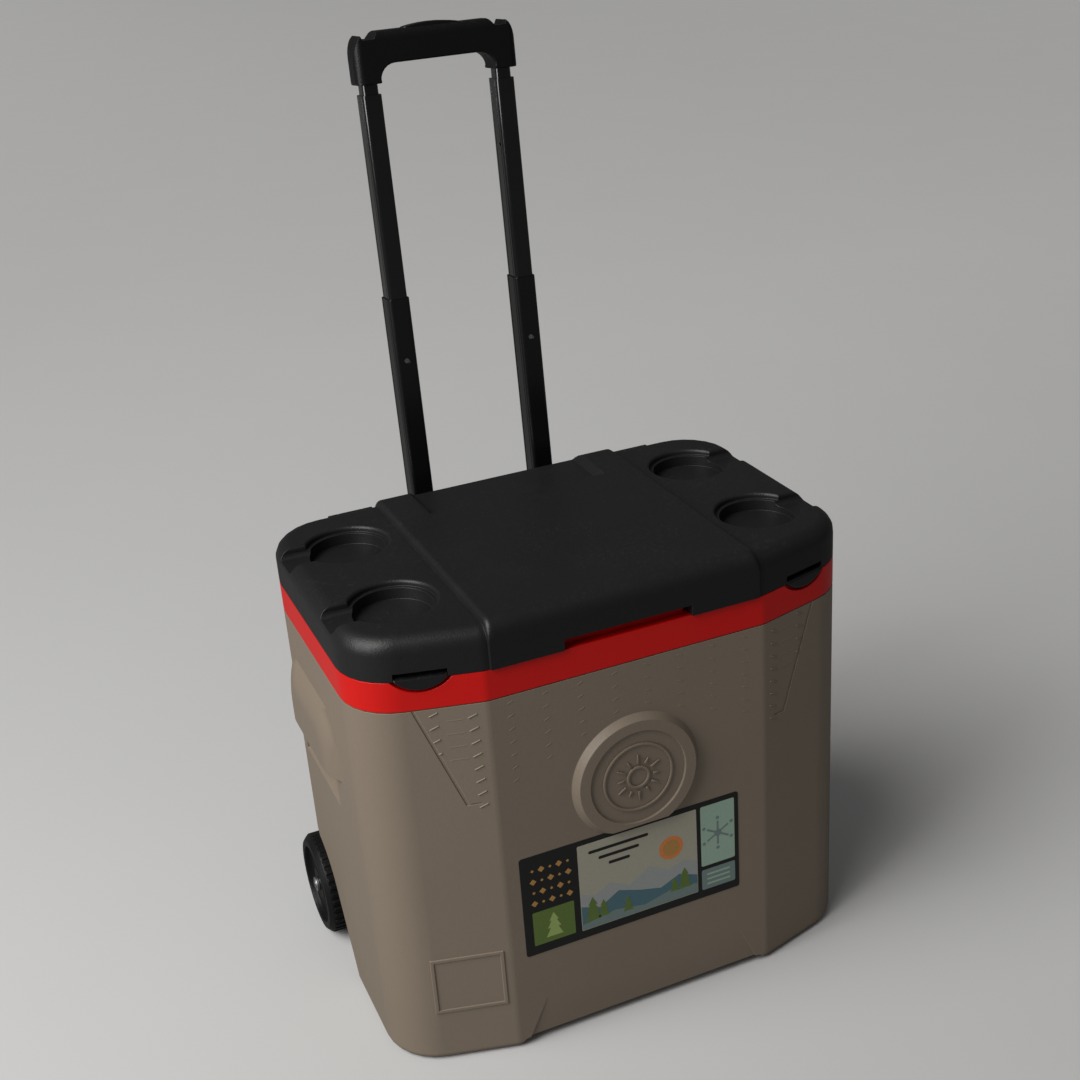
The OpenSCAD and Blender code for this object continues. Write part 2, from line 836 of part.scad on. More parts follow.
module hinge_bracket_right()
    color(black) placed()
        difference() {
            union() {
                translate([hinge_x - knuckle_l / 2, hinge_y, hinge_z])
                    rotate([0, 90, 0])
                        cylinder(r = knuckle_r, h = knuckle_l);
                block([hinge_x - knuckle_l / 2, half_d + 0.5, rim_top - 1],
                      [hinge_x + knuckle_l / 2, half_d + 0.5 + bracket_t, hinge_z]);
                block([hinge_x - knuckle_l / 2, half_d, rim_top - bracket_drop],
                      [hinge_x + knuckle_l / 2, half_d + 0.5 + bracket_t, rim_top - 1]);
            }
            hinge_bore(pin_r + run);
            hinge_screw_places() cylinder(r = hinge_screw_r, h = hinge_screw_l);
        }

module hinge_bracket_left()
    mirror([1, 0, 0]) hinge_bracket_right();

// Two screws in the foot of the right bracket, drawn along +Z into the wall
module hinge_screw_places()
    for (side = [-1, 1])
        translate([hinge_x + side * knuckle_l / 4, half_d + 0.5 + bracket_t, rim_top - bracket_drop + 8])
            rotate([90, 0, 0])
                children();

module screw(head_r, shank_r, length) {
    translate([0, 0, -screw_head_h]) cylinder(r = head_r, h = screw_head_h);
    cylinder(r = shank_r, h = length);
}

module hinge_screws()
    color(steel) placed()
        both_sides()
            hinge_screw_places()
                screw(hinge_screw_r + 1.5, hinge_screw_r, hinge_screw_l);

module hinge_pins() {
    span = knuckle_l + 2 * lug_l + 2;
    color(steel) placed()
        both_sides()
            translate([hinge_x - span / 2, hinge_y, hinge_z])
                rotate([0, 90, 0])
                    cylinder(r = pin_r, h = span);
}

// ---------------------------------------------------------------- wheels

module wheel_right() {
    hub_r = wheel_r * 0.26;
    tyre_r = wheel_r - rib_h;
    web = wheel_w * 0.3;
    face = wheel_w / 2;
    color(black) placed()
        translate([wheel_x, axle_y, wheel_r])
            rotate([0, 90, 0])
                union() {
                    rotate_extrude($fn = 96)
                        polygon([[axle_r + run, -face], [hub_r, -face], [hub_r, -web], [tyre_r - 8, -web],
                                 [tyre_r - 6, -face], [tyre_r - 2, -face], [tyre_r, 2 - face],
                                 [tyre_r, face - 4], [tyre_r - 4, face], [tyre_r - 10, face],
                                 [tyre_r - 11, face - 5], [hub_r + 6, face - 7], [hub_r + 2, face - 3],
                                 [axle_r + run, face - 3]]);
                    for (i = [0:tread_ribs - 1])
                        rotate([0, 0, i * 360 / tread_ribs])
                            block([tyre_r - 0.5, -1.8, 3 - face], [wheel_r, 1.8, face - 5]);
                }
}

module wheel_left()
    mirror([1, 0, 0]) wheel_right();

module axle() {
    reach = wheel_x + wheel_w / 2 + 1;
    color(steel) placed()
        translate([-reach, axle_y, wheel_r])
            rotate([0, 90, 0])
                cylinder(r = axle_r, h = 2 * reach);
}

module axle_tube()
    color(white) placed()
        translate([-well_x + shell_wall + fit, axle_y, wheel_r])
            rotate([0, 90, 0])
                difference() {
                    cylinder(r = axle_tube_r(), h = 2 * (well_x - shell_wall - fit));
                    translate([0, 0, -1]) cylinder(r = axle_r, h = body_l);
                }

// A ring on the axle from x0 to x1, on both sides
module axle_ring(r, x0, x1)
    both_sides()
        translate([x0, axle_y, wheel_r])
            rotate([0, 90, 0])
                difference() {
                    cylinder(r = r, h = x1 - x0);
                    translate([0, 0, -1]) cylinder(r = axle_r, h = x1 - x0 + 2);
                }

module axle_washers()
    color(steel) placed()
        axle_ring(axle_r + 4, well_x, well_x + arch_side - 0.3);

module axle_caps() {
    hub_face = wheel_x + wheel_w / 2 - 3;
    color(steel) placed()
        axle_ring(axle_r + 3, hub_face + 0.3, hub_face + 3.3);
}

// ---------------------------------------------------------------- handle

// A tube of the handle from s0 to s1, on the right side, with four fine flutes
module tube(w, d, s0, s1)
    translate([tube_pitch / 2, 0, 0])
        difference() {
            bar(w, d, tube_r, s0, s1);
            bar(w - 2 * tube_wall, d - 2 * tube_wall, tube_r - tube_wall, s0 - 1, s1 + 1);
            for (side = [-1, 1], end = [-1, 1])
                translate([side * w / 2, end * (d / 2 - flute_in), 0])
                    block([-flute_h, -flute_w / 2, s0 - 1], [flute_h, flute_w / 2, s1 + 1]);
        }

// A hole or pin across the front wall of the tubes, pointing to the front
module front_pin(r, s, y0, y1)
    translate([tube_pitch / 2, y1, s])
        rotate([90, 0, 0])
            cylinder(r = r, h = y1 - y0);

module fixed_tube_right()
    color(black) placed() on_handle()
        difference() {
            tube(sleeve_w, sleeve_d, 0, sleeve_l);
            front_pin(lock_r + 0.4, low_lock_s, -big, 0);
        }

module fixed_tube_left()
    mirror([1, 0, 0]) fixed_tube_right();

module fixed_tube_collars()
    color(black) placed() on_handle()
        both_sides()
            translate([tube_pitch / 2, 0, 0])
                difference() {
                    bar(sleeve_w + 2 * collar_wall, sleeve_d + 2 * collar_wall, tube_r + collar_wall,
                        sleeve_l + 2 - collar_h, sleeve_l + 2);
                    bar(sleeve_w, sleeve_d, tube_r, sleeve_l - collar_h, sleeve_l);
                    bar(mid_tube_w + tube_gap * 2, mid_tube_d + tube_gap * 2, tube_r,
                        sleeve_l - 1, sleeve_l + 3);
                }

// Solid with the right clearance round both fixed tubes
module tube_sockets(s0, s1)
    both_sides()
        translate([tube_pitch / 2, 0, 0])
            bar(sleeve_w, sleeve_d, tube_r, s0, s1);

// Block round both fixed tubes from s0 to s1, from deep in the wall to behind the tubes
module bracket_block(front, s0, s1) {
    depth = bracket_back + front;
    translate([0, (bracket_back - front) / 2, 0]) bar(trough_w - 1, depth, 5, s0, s1);
}

// Bracket from low to high along the handle; its sockets for the tubes start at floor_s
module bracket(low, high, floor_s)
    difference() {
        on_handle() bracket_block(wall_gap + 8, low, high);
        on_handle() tube_sockets(floor_s, high + 1);
        block([-big, -big, 0], [big, half_d, big]);
        on_handle() bracket_screw_places() cylinder(r = bracket_screw_r, h = bracket_screw_l);
    }

module upper_bracket()
    color(black) placed()
        bracket(upper_screw_s - bracket_h / 2, upper_screw_s + bracket_h / 2,
                upper_screw_s - bracket_h / 2 - 1);

module lower_bracket()
    color(black) placed()
        bracket(-shelf_t, bracket_h - shelf_t, 0);

// Two screws in each bracket between the tubes, drawn along +Z into the wall
module bracket_screw_places()
    for (side = [-1, 1], s = [lower_screw_s, upper_screw_s])
        translate([side * tube_pitch / 4, bracket_back, s])
            rotate([90, 0, 0])
                children();

module bracket_screws()
    color(steel) placed() on_handle()
        bracket_screw_places()
            screw(bracket_screw_r + 2.5, bracket_screw_r, bracket_screw_l);

module middle_tube_right()
    color(black) placed() on_handle()
        difference() {
            tube(mid_tube_w, mid_tube_d, mid_bottom, mid_top);
            front_pin(lock_r + 0.3, lock_s, -big, 0);
            front_pin(lock_r + 0.3, low_lock_s, -big, 0);
        }

module middle_tube_left()
    mirror([1, 0, 0]) middle_tube_right();

// Plug in the lower end of a tube; it holds a lock pin and its spring
module glide(w, d, s0, pin_s)
    translate([tube_pitch / 2, 0, 0])
        difference() {
            union() {
                bar(w - 2 * tube_wall, d - 2 * tube_wall, tube_r - tube_wall, s0, s0 + glide_l);
                bar(w + tube_gap, d + tube_gap, tube_r, s0 - 3, s0);
            }
            translate([0, d / 2 - tube_wall - 1, pin_s])
                rotate([90, 0, 0])
                    cylinder(r = lock_r + 0.2, h = big);
            translate([0, 0, pin_s])
                cylinder(r = rod_r + 0.4, h = big);
        }

module middle_glides()
    color(white) placed() on_handle()
        both_sides() glide(mid_tube_w, mid_tube_d, mid_bottom, low_lock_s);

// Hollow lock pin with its closed end to the front; out is how far it reaches past its tube
module lock_pin(tube_d, out, s) {
    front = -tube_d / 2 - out;
    difference() {
        front_pin(lock_r, s, front, front + pin_l);
        front_pin(lock_r - pin_wall, s, front + pin_face, front + pin_l + 1);
    }
}

module lower_lock_pins()
    color(steel) placed() on_handle()
        both_sides() lock_pin(mid_tube_d, tube_gap - run, low_lock_s);

// Coil in a hollow lock pin, drawn as a closed sleeve of the length it is pressed to
module pin_spring(tube_d, out, s) {
    r = lock_r - pin_wall - fit;
    difference() {
        front_pin(r, s, -tube_d / 2 - out + pin_face + lock_travel + fit, tube_d / 2 - tube_wall - 1);
        front_pin(r - 0.6, s, -big, big);
    }
}

module lower_pin_springs()
    color(steel) placed() on_handle()
        both_sides() pin_spring(mid_tube_d, tube_gap - run, low_lock_s);

module top_tube_right()
    color(black) placed() on_handle()
        difference() {
            union() {
                tube(top_tube_w, top_tube_d, top_bottom, tube_top);
                translate([tube_pitch / 2, 0, 0]) {
                    bar(top_tube_w, top_tube_d, tube_r, tube_top - 2 * tube_wall, tube_top);
                    bar(neck_w, neck_d, tube_r, tube_top - tube_wall, grip_s + neck_in);
                }
            }
            translate([tube_pitch / 2, 0, 0])
                bar(neck_w - 2 * tube_wall, neck_d - 2 * tube_wall, tube_r - tube_wall,
                    tube_top - 3 * tube_wall, grip_s + neck_in + 1);
            front_pin(lock_r + 0.3, lock_s, -big, 0);
            vent_hole();
        }

// Small hole in a top tube's inner side
module vent_hole()
    translate([tube_pitch / 2 - top_tube_w / 2 - 1, vent_y, grip_s - vent_down])
        rotate([0, 90, 0])
            cylinder(r = vent_r, h = tube_wall + 2);

module top_tube_left()
    mirror([1, 0, 0]) top_tube_right();

module top_glides()
    color(white) placed() on_handle()
        both_sides() glide(top_tube_w, top_tube_d, top_bottom, lock_s);

module upper_lock_pins()
    color(steel) placed() on_handle()
        both_sides() lock_pin(top_tube_d, tube_gap - run, lock_s);

module upper_pin_springs()
    color(steel) placed() on_handle()
        both_sides() pin_spring(top_tube_d, tube_gap - run, lock_s);

// ---------------------------------------------------------------- grip

// Right half of the grip's top line, from the leg's outer side to the bar
function grip_top_line() =
    let (nick_x = grip_w / 2 - horn_w / 2 - 1)
    concat(
        [[leg_outer(), grip_s], [grip_w / 2, grip_s + 3]],
        oval([grip_w / 2 - horn_w, grip_top - horn_down - horn_h * sin(60)], horn_w, horn_h, 0, 60),
        [[nick_x - 0.2, grip_top - nick_down], [nick_x - nick_w, grip_top - nick_down],
         [nick_x - nick_w - 3.5, grip_top - button_proud - 1.5],
         [nick_x - nick_w - 5.5, grip_top - button_proud]]);

// Front view of the grip: two legs and a cross bar with a notch at each end of its top
module grip_outline() {
    right = grip_top_line();
    difference() {
        polygon(concat(right, [for (i = [len(right) - 1:-1:0]) [-right[i].x, right[i].y]]));
        polygon(concat(
            [[-leg_inner(), grip_s - 1]],
            arc([arch_r - leg_inner(), bar_s - arch_r], arch_r, 180, 90),
            arc([leg_inner() - arch_r, bar_s - arch_r], arch_r, 90, 0),
            [[leg_inner(), grip_s - 1]]));
    }
}

function leg_outer() = grip_w / 2 - 1.5;
function leg_inner() = grip_w / 2 - leg_w;

// Block with round corners and a rounded top, which the grip's outline is cut from
module grip_block()
    intersection() {
        bar(grip_w, grip_d, leg_r, grip_s - 1, grip_top);
        along_x(-grip_w, grip_w)
            polygon(concat(
                [[-grip_d / 2, grip_s - 1], [grip_d / 2, grip_s - 1]],
                arc([grip_d / 2 - bar_r, grip_top - button_proud - bar_r], bar_r, 0, 90),
                arc([bar_r - grip_d / 2, grip_top - button_proud - bar_r], bar_r, 90, 180)));
    }

module grip_hollows() {
    both_sides()
        translate([tube_pitch / 2, 0, 0]) {
            bar(neck_w, neck_d, tube_r, grip_s - 1, grip_s + neck_in);
            bar(rod_hollow(), rod_hollow(), 2, grip_s, yoke_s() + 1);
        }
    bar(button_l + 1, button_d + 1, 4, yoke_s() - button_well, big);
    block([-tube_pitch / 2 - 4, -4, yoke_s() - button_travel - 0.5],
          [tube_pitch / 2 + 4, 4, yoke_s() + 3.5]);
}

function rod_hollow() = 2 * rod_r + 5;
function yoke_s() = grip_top - 16;

module grip_half(side)
    on_handle()
        difference() {
            intersection() {
                along_y(side < 0 ? -grip_d / 2 : fit / 2, side < 0 ? -fit / 2 : grip_d / 2) grip_outline();
                grip_block();
            }
            grip_hollows();
            grip_screw_places() cylinder(r = 1.3, h = grip_d - 4);
            grip_screw_places() translate([0, 0, -1]) cylinder(r = 2.7, h = 4);
        }

module grip_front()
    color(black) placed() grip_half(-1);

module grip_back()
    color(black) placed() grip_half(1);

// Screws from the back of the grip, drawn along +Z to the front
module grip_screw_places()
    for (x = [-tube_pitch / 2 + 18, tube_pitch / 2 - 18])
        translate([x, grip_d / 2, bar_s + 4.2])
            rotate([90, 0, 0])
                children();

module grip_screws()
    color(steel) placed() on_handle()
        grip_screw_places()
            translate([0, 0, 3]) screw(2.6, 1.3, grip_d - 9);

module release_button()
    color(black) placed() on_handle() {
        intersection() {
            bar(button_l, button_d, 4, yoke_s(), grip_top);
            along_y(-button_d, button_d)
                polygon(concat(
                    [[-button_l, yoke_s() - 1]],
                    arc([0, grip_top - dome_r()], dome_r(), 90 + dome_a(), 90 - dome_a()),
                    [[button_l, yoke_s() - 1]]));
        }
        block([-tube_pitch / 2 - 3, -3, yoke_s()], [tube_pitch / 2 + 3, 3, yoke_s() + 3]);
    }

function dome_r() = lens_r(button_l, button_proud - 0.4);
function dome_a() = asin(button_l / 2 / dome_r());

module button_spring()
    color(steel) placed() on_handle()
        difference() {
            translate([0, 0, yoke_s() - button_well]) cylinder(r = 4, h = button_well - button_travel - fit);
            translate([0, 0, yoke_s() - button_well - 1]) cylinder(r = 3, h = button_well);
        }

module push_rods()
    color(steel) placed() on_handle()
        both_sides()
            translate([tube_pitch / 2, 0, lock_s + lock_r + button_travel + 0.5])
                cylinder(r = rod_r, h = yoke_s() - lock_s - lock_r - button_travel - 0.5);

outer_shell();
body_foam();
liner();
rim();
front_label();
lid_shell();
lid_foam();
lid_liner();
lid_tab_left();
lid_tab_right();
hinge_bracket_left();
hinge_bracket_right();
hinge_pins();
hinge_screws();
wheel_left();
wheel_right();
axle();
axle_tube();
axle_washers();
axle_caps();
fixed_tube_left();
fixed_tube_right();
fixed_tube_collars();
upper_bracket();
lower_bracket();
bracket_screws();
middle_tube_left();
middle_tube_right();
middle_glides();
lower_lock_pins();
lower_pin_springs();
top_tube_left();
top_tube_right();
top_glides();
upper_lock_pins();
upper_pin_springs();
grip_front();
grip_back();
grip_screws();
release_button();
button_spring();
push_rods();
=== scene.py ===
"""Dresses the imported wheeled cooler: softened mouldings, label, raised strokes, screws and finishes."""

import json
import math

import bmesh
import bpy
from bpy.props import FloatProperty, FloatVectorProperty, IntProperty, PointerProperty
from mathutils import Matrix, Vector

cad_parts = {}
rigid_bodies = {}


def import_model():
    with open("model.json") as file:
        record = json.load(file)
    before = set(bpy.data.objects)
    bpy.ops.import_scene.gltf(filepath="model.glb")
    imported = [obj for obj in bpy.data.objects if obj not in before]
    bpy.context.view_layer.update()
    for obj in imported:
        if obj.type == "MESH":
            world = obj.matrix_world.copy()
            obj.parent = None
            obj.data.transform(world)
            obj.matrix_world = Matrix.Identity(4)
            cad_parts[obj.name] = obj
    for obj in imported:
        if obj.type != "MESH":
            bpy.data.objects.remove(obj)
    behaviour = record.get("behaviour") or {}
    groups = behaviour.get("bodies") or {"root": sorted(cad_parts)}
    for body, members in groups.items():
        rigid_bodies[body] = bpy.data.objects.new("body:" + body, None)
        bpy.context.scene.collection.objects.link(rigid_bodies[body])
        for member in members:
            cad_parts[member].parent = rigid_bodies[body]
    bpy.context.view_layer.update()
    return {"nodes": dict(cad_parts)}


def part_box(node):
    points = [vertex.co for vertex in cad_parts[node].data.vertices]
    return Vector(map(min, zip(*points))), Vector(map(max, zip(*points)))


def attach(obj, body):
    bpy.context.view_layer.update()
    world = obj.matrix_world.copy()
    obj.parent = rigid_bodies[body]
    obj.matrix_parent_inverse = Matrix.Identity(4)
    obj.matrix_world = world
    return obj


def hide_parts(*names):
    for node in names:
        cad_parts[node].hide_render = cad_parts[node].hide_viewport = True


bl_info = {
    "name": "Wheeled Cooler",
    "version": (1, 0, 0),
    "blender": (4, 5, 0),
    "location": "View3D > Sidebar > Cooler",
    "description": "Dresses a wheeled cooler with softened mouldings, a label, screws and finishes",
    "category": "Object",
}

for leftover in list(bpy.data.objects):
    bpy.data.objects.remove(leftover)
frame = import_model()

MM = 0.001
RIM_LOW, RIM_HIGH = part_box("rim")
MIDDLE = (RIM_LOW.y + RIM_HIGH.y) / 2
LABEL_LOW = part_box("front_label")[0]
TUBE_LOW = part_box("fixed_tube_right")[0]
SHELL_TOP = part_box("outer_shell")[1].z
SWEEP = math.atan(27 / 99.5)
PANEL_EDGE = 0.123

# Most growth of a surface by rounding, the least rounding, and how near a point is on a face.
AREA_SLACK = 1.0003
LEAST_ROUND = 0.00004
FACE_SLACK = 5e-5
SURFACE_IOR = 1.5

# Places on the handle, across and along its tubes.
HANDLE_FOOT_RISE = 0.034 - TUBE_LOW.z
TUBE_OUT = 0.0615
FIXED_TUBE_DEPTH, BRACKET_WALL = 0.0267, 0.003
BRACKET_SCREW_OUT, BRACKET_SCREWS_UP = 0.03075, (0.016, 0.290542)
GRIP_SCREW_OUT, GRIP_SCREW_BACK, GRIP_SCREW_UP = 0.0435, 0.0105, 0.7543
HINGE_SCREW_OUT, HINGE_SCREW_STEP, HINGE_SCREW_HEAD = 0.140, 0.0055, 0.0016
LOCKS = (("upper", "top_stage", 0.0215, 0.492119), ("lower", "middle_stage", 0.0241, 0.294119))
PIN_PROUD, PIN_LENGTH = 0.00025, 0.006
COIL_START, COIL_END_GAP = 0.0042, 0.002
BUTTON_SPRING_UP = 0.7561

TO_FRONT = Matrix.Rotation(math.radians(90), 4, "X")
TO_BACK = Matrix.Rotation(math.radians(-90), 4, "X")


# ------------------------------------------------------------------ sizes and colours

class CoolerSizes(bpy.types.PropertyGroup):
    """Sizes of the details that dress the cooler."""

    edge: FloatProperty(
        name="Moulded edge", description="Rounding of the body's and lid's crisp edges",
        default=0.0005, min=0.0001, unit="LENGTH")
    grip_edge: FloatProperty(
        name="Grip edge", description="Rounding of the grip's edges",
        default=0.0022, min=0.0002, unit="LENGTH")
    stroke_length: FloatProperty(
        name="Stroke length", description="Length of a raised stroke on the front",
        default=0.0094, unit="LENGTH")
    stroke_width: FloatProperty(
        name="Stroke width", description="Width of a raised stroke",
        default=0.0017, unit="LENGTH")
    stroke_pitch: FloatProperty(
        name="Stroke pitch", description="Height between two strokes of a column",
        default=0.0119, unit="LENGTH")
    column_pitch: FloatProperty(
        name="Column pitch", description="Distance between two columns of strokes",
        default=0.030, unit="LENGTH")
    lean: FloatProperty(
        name="Handle lean", description="Backward lean of the handle",
        default=math.radians(3.5), subtype="ANGLE")
    handle_out: FloatProperty(
        name="Handle distance",
        description="Distance of the tubes' axis plane from the back wall, at its foot",
        default=0.0146, unit="LENGTH")
    relief: FloatProperty(
        name="Medallion relief", description="Height of the ring and the rays in the medallion",
        default=0.0006, min=0.0002, max=0.0009, unit="LENGTH")
    medallion_height: FloatProperty(
        name="Medallion height", description="Height of the medallion's middle above the floor",
        default=0.242, unit="LENGTH")
    coil_turns: IntProperty(
        name="Coil turns", description="Turns of a small spring", default=6, min=3)


class CoolerColours(bpy.types.PropertyGroup):
    """Base colours of the finishes."""

    taupe: FloatVectorProperty(
        name="Body", description="Colour of the body", subtype="COLOR", default=(0.212, 0.170, 0.129))
    red: FloatVectorProperty(
        name="Rim", description="Colour of the rim", subtype="COLOR", default=(0.58, 0.006, 0.004))
    lid_black: FloatVectorProperty(
        name="Lid", description="Colour of the lid", subtype="COLOR", default=(0.0118, 0.0118, 0.0120))
    tube_black: FloatVectorProperty(
        name="Tubes", description="Colour of the handle's tubes", subtype="COLOR",
        default=(0.0035, 0.0035, 0.0037))
    wheel_black: FloatVectorProperty(
        name="Wheels", description="Colour of the wheels", subtype="COLOR", default=(0.006, 0.006, 0.0062))
    liner_white: FloatVectorProperty(
        name="Liner", description="Colour of the liner", subtype="COLOR", default=(0.72, 0.72, 0.69))
    floor_grey: FloatVectorProperty(
        name="Floor", description="Colour of the plain floor", subtype="COLOR", default=(0.46, 0.46, 0.457))


# ------------------------------------------------------------------ shader groups

def new_group(name, inputs, outputs):
    """Makes an empty shader group with named float inputs and outputs."""
    group = bpy.data.node_groups.new(name, "ShaderNodeTree")
    for label, value in inputs:
        socket = group.interface.new_socket(name=label, in_out="INPUT", socket_type="NodeSocketFloat")
        socket.default_value = value
    for label, kind in outputs:
        group.interface.new_socket(name=label, in_out="OUTPUT", socket_type=kind)
    entry = group.nodes.new("NodeGroupInput")
    leave = group.nodes.new("NodeGroupOutput")
    return group, entry, leave


def add_math(tree, operation, first, second=None, clamp=False):
    """Adds a math node fed by sockets or numbers and returns its output."""
    node = tree.nodes.new("ShaderNodeMath")
    node.operation = operation
    node.use_clamp = clamp
    for slot, value in zip(node.inputs, (first, second)):
        if value is None:
            continue
        if isinstance(value, (int, float)):
            slot.default_value = value
        else:
            tree.links.new(value, slot)
    return node.outputs[0]


def add_range(tree, value, low, high, to_low=0.0, to_high=1.0):
    """Adds a smooth map range node and returns its output."""
    node = tree.nodes.new("ShaderNodeMapRange")
    node.interpolation_type = "SMOOTHSTEP"
    tree.links.new(value, node.inputs["Value"])
    for label, number in (("From Min", low), ("From Max", high), ("To Min", to_low), ("To Max", to_high)):
        node.inputs[label].default_value = number
    return node.outputs["Result"]


def add_noise(tree, vector, scale, detail=3.0, roughness=0.55):
    """Adds a noise texture; scale is a number or a socket."""
    node = tree.nodes.new("ShaderNodeTexNoise")
    tree.links.new(vector, node.inputs["Vector"])
    if isinstance(scale, (int, float)):
        node.inputs["Scale"].default_value = scale
    else:
        tree.links.new(scale, node.inputs["Scale"])
    node.inputs["Detail"].default_value = detail
    node.inputs["Roughness"].default_value = roughness
    return node.outputs["Fac"]


def object_coords(tree):
    """The object coordinates, as a socket."""
    return tree.nodes.new("ShaderNodeTexCoord").outputs["Object"]


def make_grain_group():
    """Pebbled grain of a moulded surface, as a height."""
    group, entry, leave = new_group(
        "Moulded Grain", [("Scale", 900.0), ("Pebble", 0.6)], [("Height", "NodeSocketFloat")])
    coords = object_coords(group)
    fine = add_noise(group, coords, entry.outputs["Scale"], 2.0, 0.6)
    cells = group.nodes.new("ShaderNodeTexVoronoi")
    cells.feature = "SMOOTH_F1"
    group.links.new(coords, cells.inputs["Vector"])
    group.links.new(entry.outputs["Scale"], cells.inputs["Scale"])
    cells.inputs["Smoothness"].default_value = 0.6
    pebble = add_math(group, "MULTIPLY", cells.outputs["Distance"], entry.outputs["Pebble"])
    group.links.new(add_math(group, "SUBTRACT", fine, pebble), leave.inputs["Height"])
    return group


def make_tone_group():
    """Slow and fine colour variation, as one factor about 1."""
    group, entry, leave = new_group(
        "Moulded Tone", [("Slow", 0.08), ("Fine", 0.05), ("Fine Scale", 500.0)],
        [("Factor", "NodeSocketFloat")])
    coords = object_coords(group)
    slow = add_math(group, "SUBTRACT", add_noise(group, coords, 7.0, 4.0), 0.5)
    fine = add_math(group, "SUBTRACT", add_noise(group, coords, entry.outputs["Fine Scale"], 3.0, 0.7), 0.5)
    slow = add_math(group, "MULTIPLY", slow, entry.outputs["Slow"])
    fine = add_math(group, "MULTIPLY", fine, entry.outputs["Fine"])
    both = add_math(group, "ADD", slow, fine)
    group.links.new(add_math(group, "MULTIPLY_ADD", both, 2.0), leave.inputs["Factor"])
    node = leave.inputs["Factor"].links[0].from_node
    node.inputs[2].default_value = 1.0
    return group


def make_wear_and_highlight_group():
    """Scuffed crisp edges with a painted edge highlight: a broken mask over the faces marked as edges."""
    group, entry, leave = new_group(
        "Edge Wear And Highlight", [("Amount", 0.5), ("Scale", 60.0)], [("Mask", "NodeSocketFloat")])
    mark = group.nodes.new("ShaderNodeAttribute")
    mark.attribute_name = "edge"
    coords = object_coords(group)
    patches = add_range(group, add_noise(group, coords, entry.outputs["Scale"], 5.0, 0.7), 0.42, 0.66)
    mask = add_math(group, "MULTIPLY", mark.outputs["Fac"], patches)
    group.links.new(add_math(group, "MULTIPLY", mask, entry.outputs["Amount"], True), leave.inputs["Mask"])
    return group


def make_dust_group():
    """Thin dust on faces that look up, and faint smears, as two masks."""
    group, entry, leave = new_group(
        "Dust", [("Dust", 0.3), ("Smears", 0.4)],
        [("Dust", "NodeSocketFloat"), ("Smears", "NodeSocketFloat")])
    coords = object_coords(group)
    normal = group.nodes.new("ShaderNodeTexCoord").outputs["Normal"]
    split = group.nodes.new("ShaderNodeSeparateXYZ")
    group.links.new(normal, split.inputs[0])
    up = add_range(group, split.outputs["Z"], 0.35, 1.0)
    specks = add_range(group, add_noise(group, coords, 240.0, 6.0, 0.75), 0.5, 0.78)
    clouds = add_range(group, add_noise(group, coords, 16.0, 4.0), 0.3, 0.75)
    dust = add_math(group, "MULTIPLY", up, add_math(group, "MULTIPLY", specks, clouds))
    group.links.new(add_math(group, "MULTIPLY", dust, entry.outputs["Dust"], True), leave.inputs["Dust"])
    stretch = group.nodes.new("ShaderNodeMapping")
    group.links.new(coords, stretch.inputs["Vector"])
    stretch.inputs["Scale"].default_value = (9.0, 9.0, 3.5)
    stretch.inputs["Rotation"].default_value = (0.3, 0.2, 0.5)
    smears = add_range(group, add_noise(group, stretch.outputs[0], 2.4, 5.0, 0.6), 0.42, 0.7)
    smears = add_math(group, "MULTIPLY", smears, entry.outputs["Smears"], True)
    group.links.new(smears, leave.inputs["Smears"])
    return group


def make_brush_group():
    """Fine drawn lines of bare metal, as a height."""
    group, entry, leave = new_group("Drawn Lines", [("Scale", 900.0)], [("Height", "NodeSocketFloat")])
    coords = object_coords(group)
    stretch = group.nodes.new("ShaderNodeMapping")
    group.links.new(coords, stretch.inputs["Vector"])
    stretch.inputs["Scale"].default_value = (0.06, 1.0, 1.0)
    group.links.new(
        add_noise(group, stretch.outputs[0], entry.outputs["Scale"], 2.0, 0.6), leave.inputs["Height"])
    return group


def groups():
    """The shader groups, each made once."""
    makers = {
        "Moulded Grain": make_grain_group, "Moulded Tone": make_tone_group, "Edge Wear And Highlight": make_wear_and_highlight_group,
        "Dust": make_dust_group, "Drawn Lines": make_brush_group}
    return {name: bpy.data.node_groups.get(name) or make() for name, make in makers.items()}


def place_group(tree, name, **values):
    """Puts a node group into a tree and sets its inputs."""
    node = tree.nodes.new("ShaderNodeGroup")
    node.node_tree = groups()[name]
    for label, value in values.items():
        node.inputs[label.replace("_", " ")].default_value = value
    return node


def mix_colour(tree, factor, first, second):
    """Mixes two colours, each a tuple or a socket, by a socket."""
    node = tree.nodes.new("ShaderNodeMix")
    node.data_type = "RGBA"
    if isinstance(factor, (int, float)):
        node.inputs["Factor"].default_value = factor
    else:
        tree.links.new(factor, node.inputs["Factor"])
    for slot, value in ((node.inputs[6], first), (node.inputs[7], second)):
        if isinstance(value, bpy.types.NodeSocket):
            tree.links.new(value, slot)
        else:
            slot.default_value = (*value[:3], 1.0)
    return node.outputs[2]


def scale_colour(tree, colour, factor):
    """Multiplies a colour by a factor socket."""
    node = tree.nodes.new("ShaderNodeVectorMath")
    node.operation = "SCALE"
    node.inputs[0].default_value = colour[:3]
    tree.links.new(factor, node.inputs["Scale"])
    return node.outputs[0]


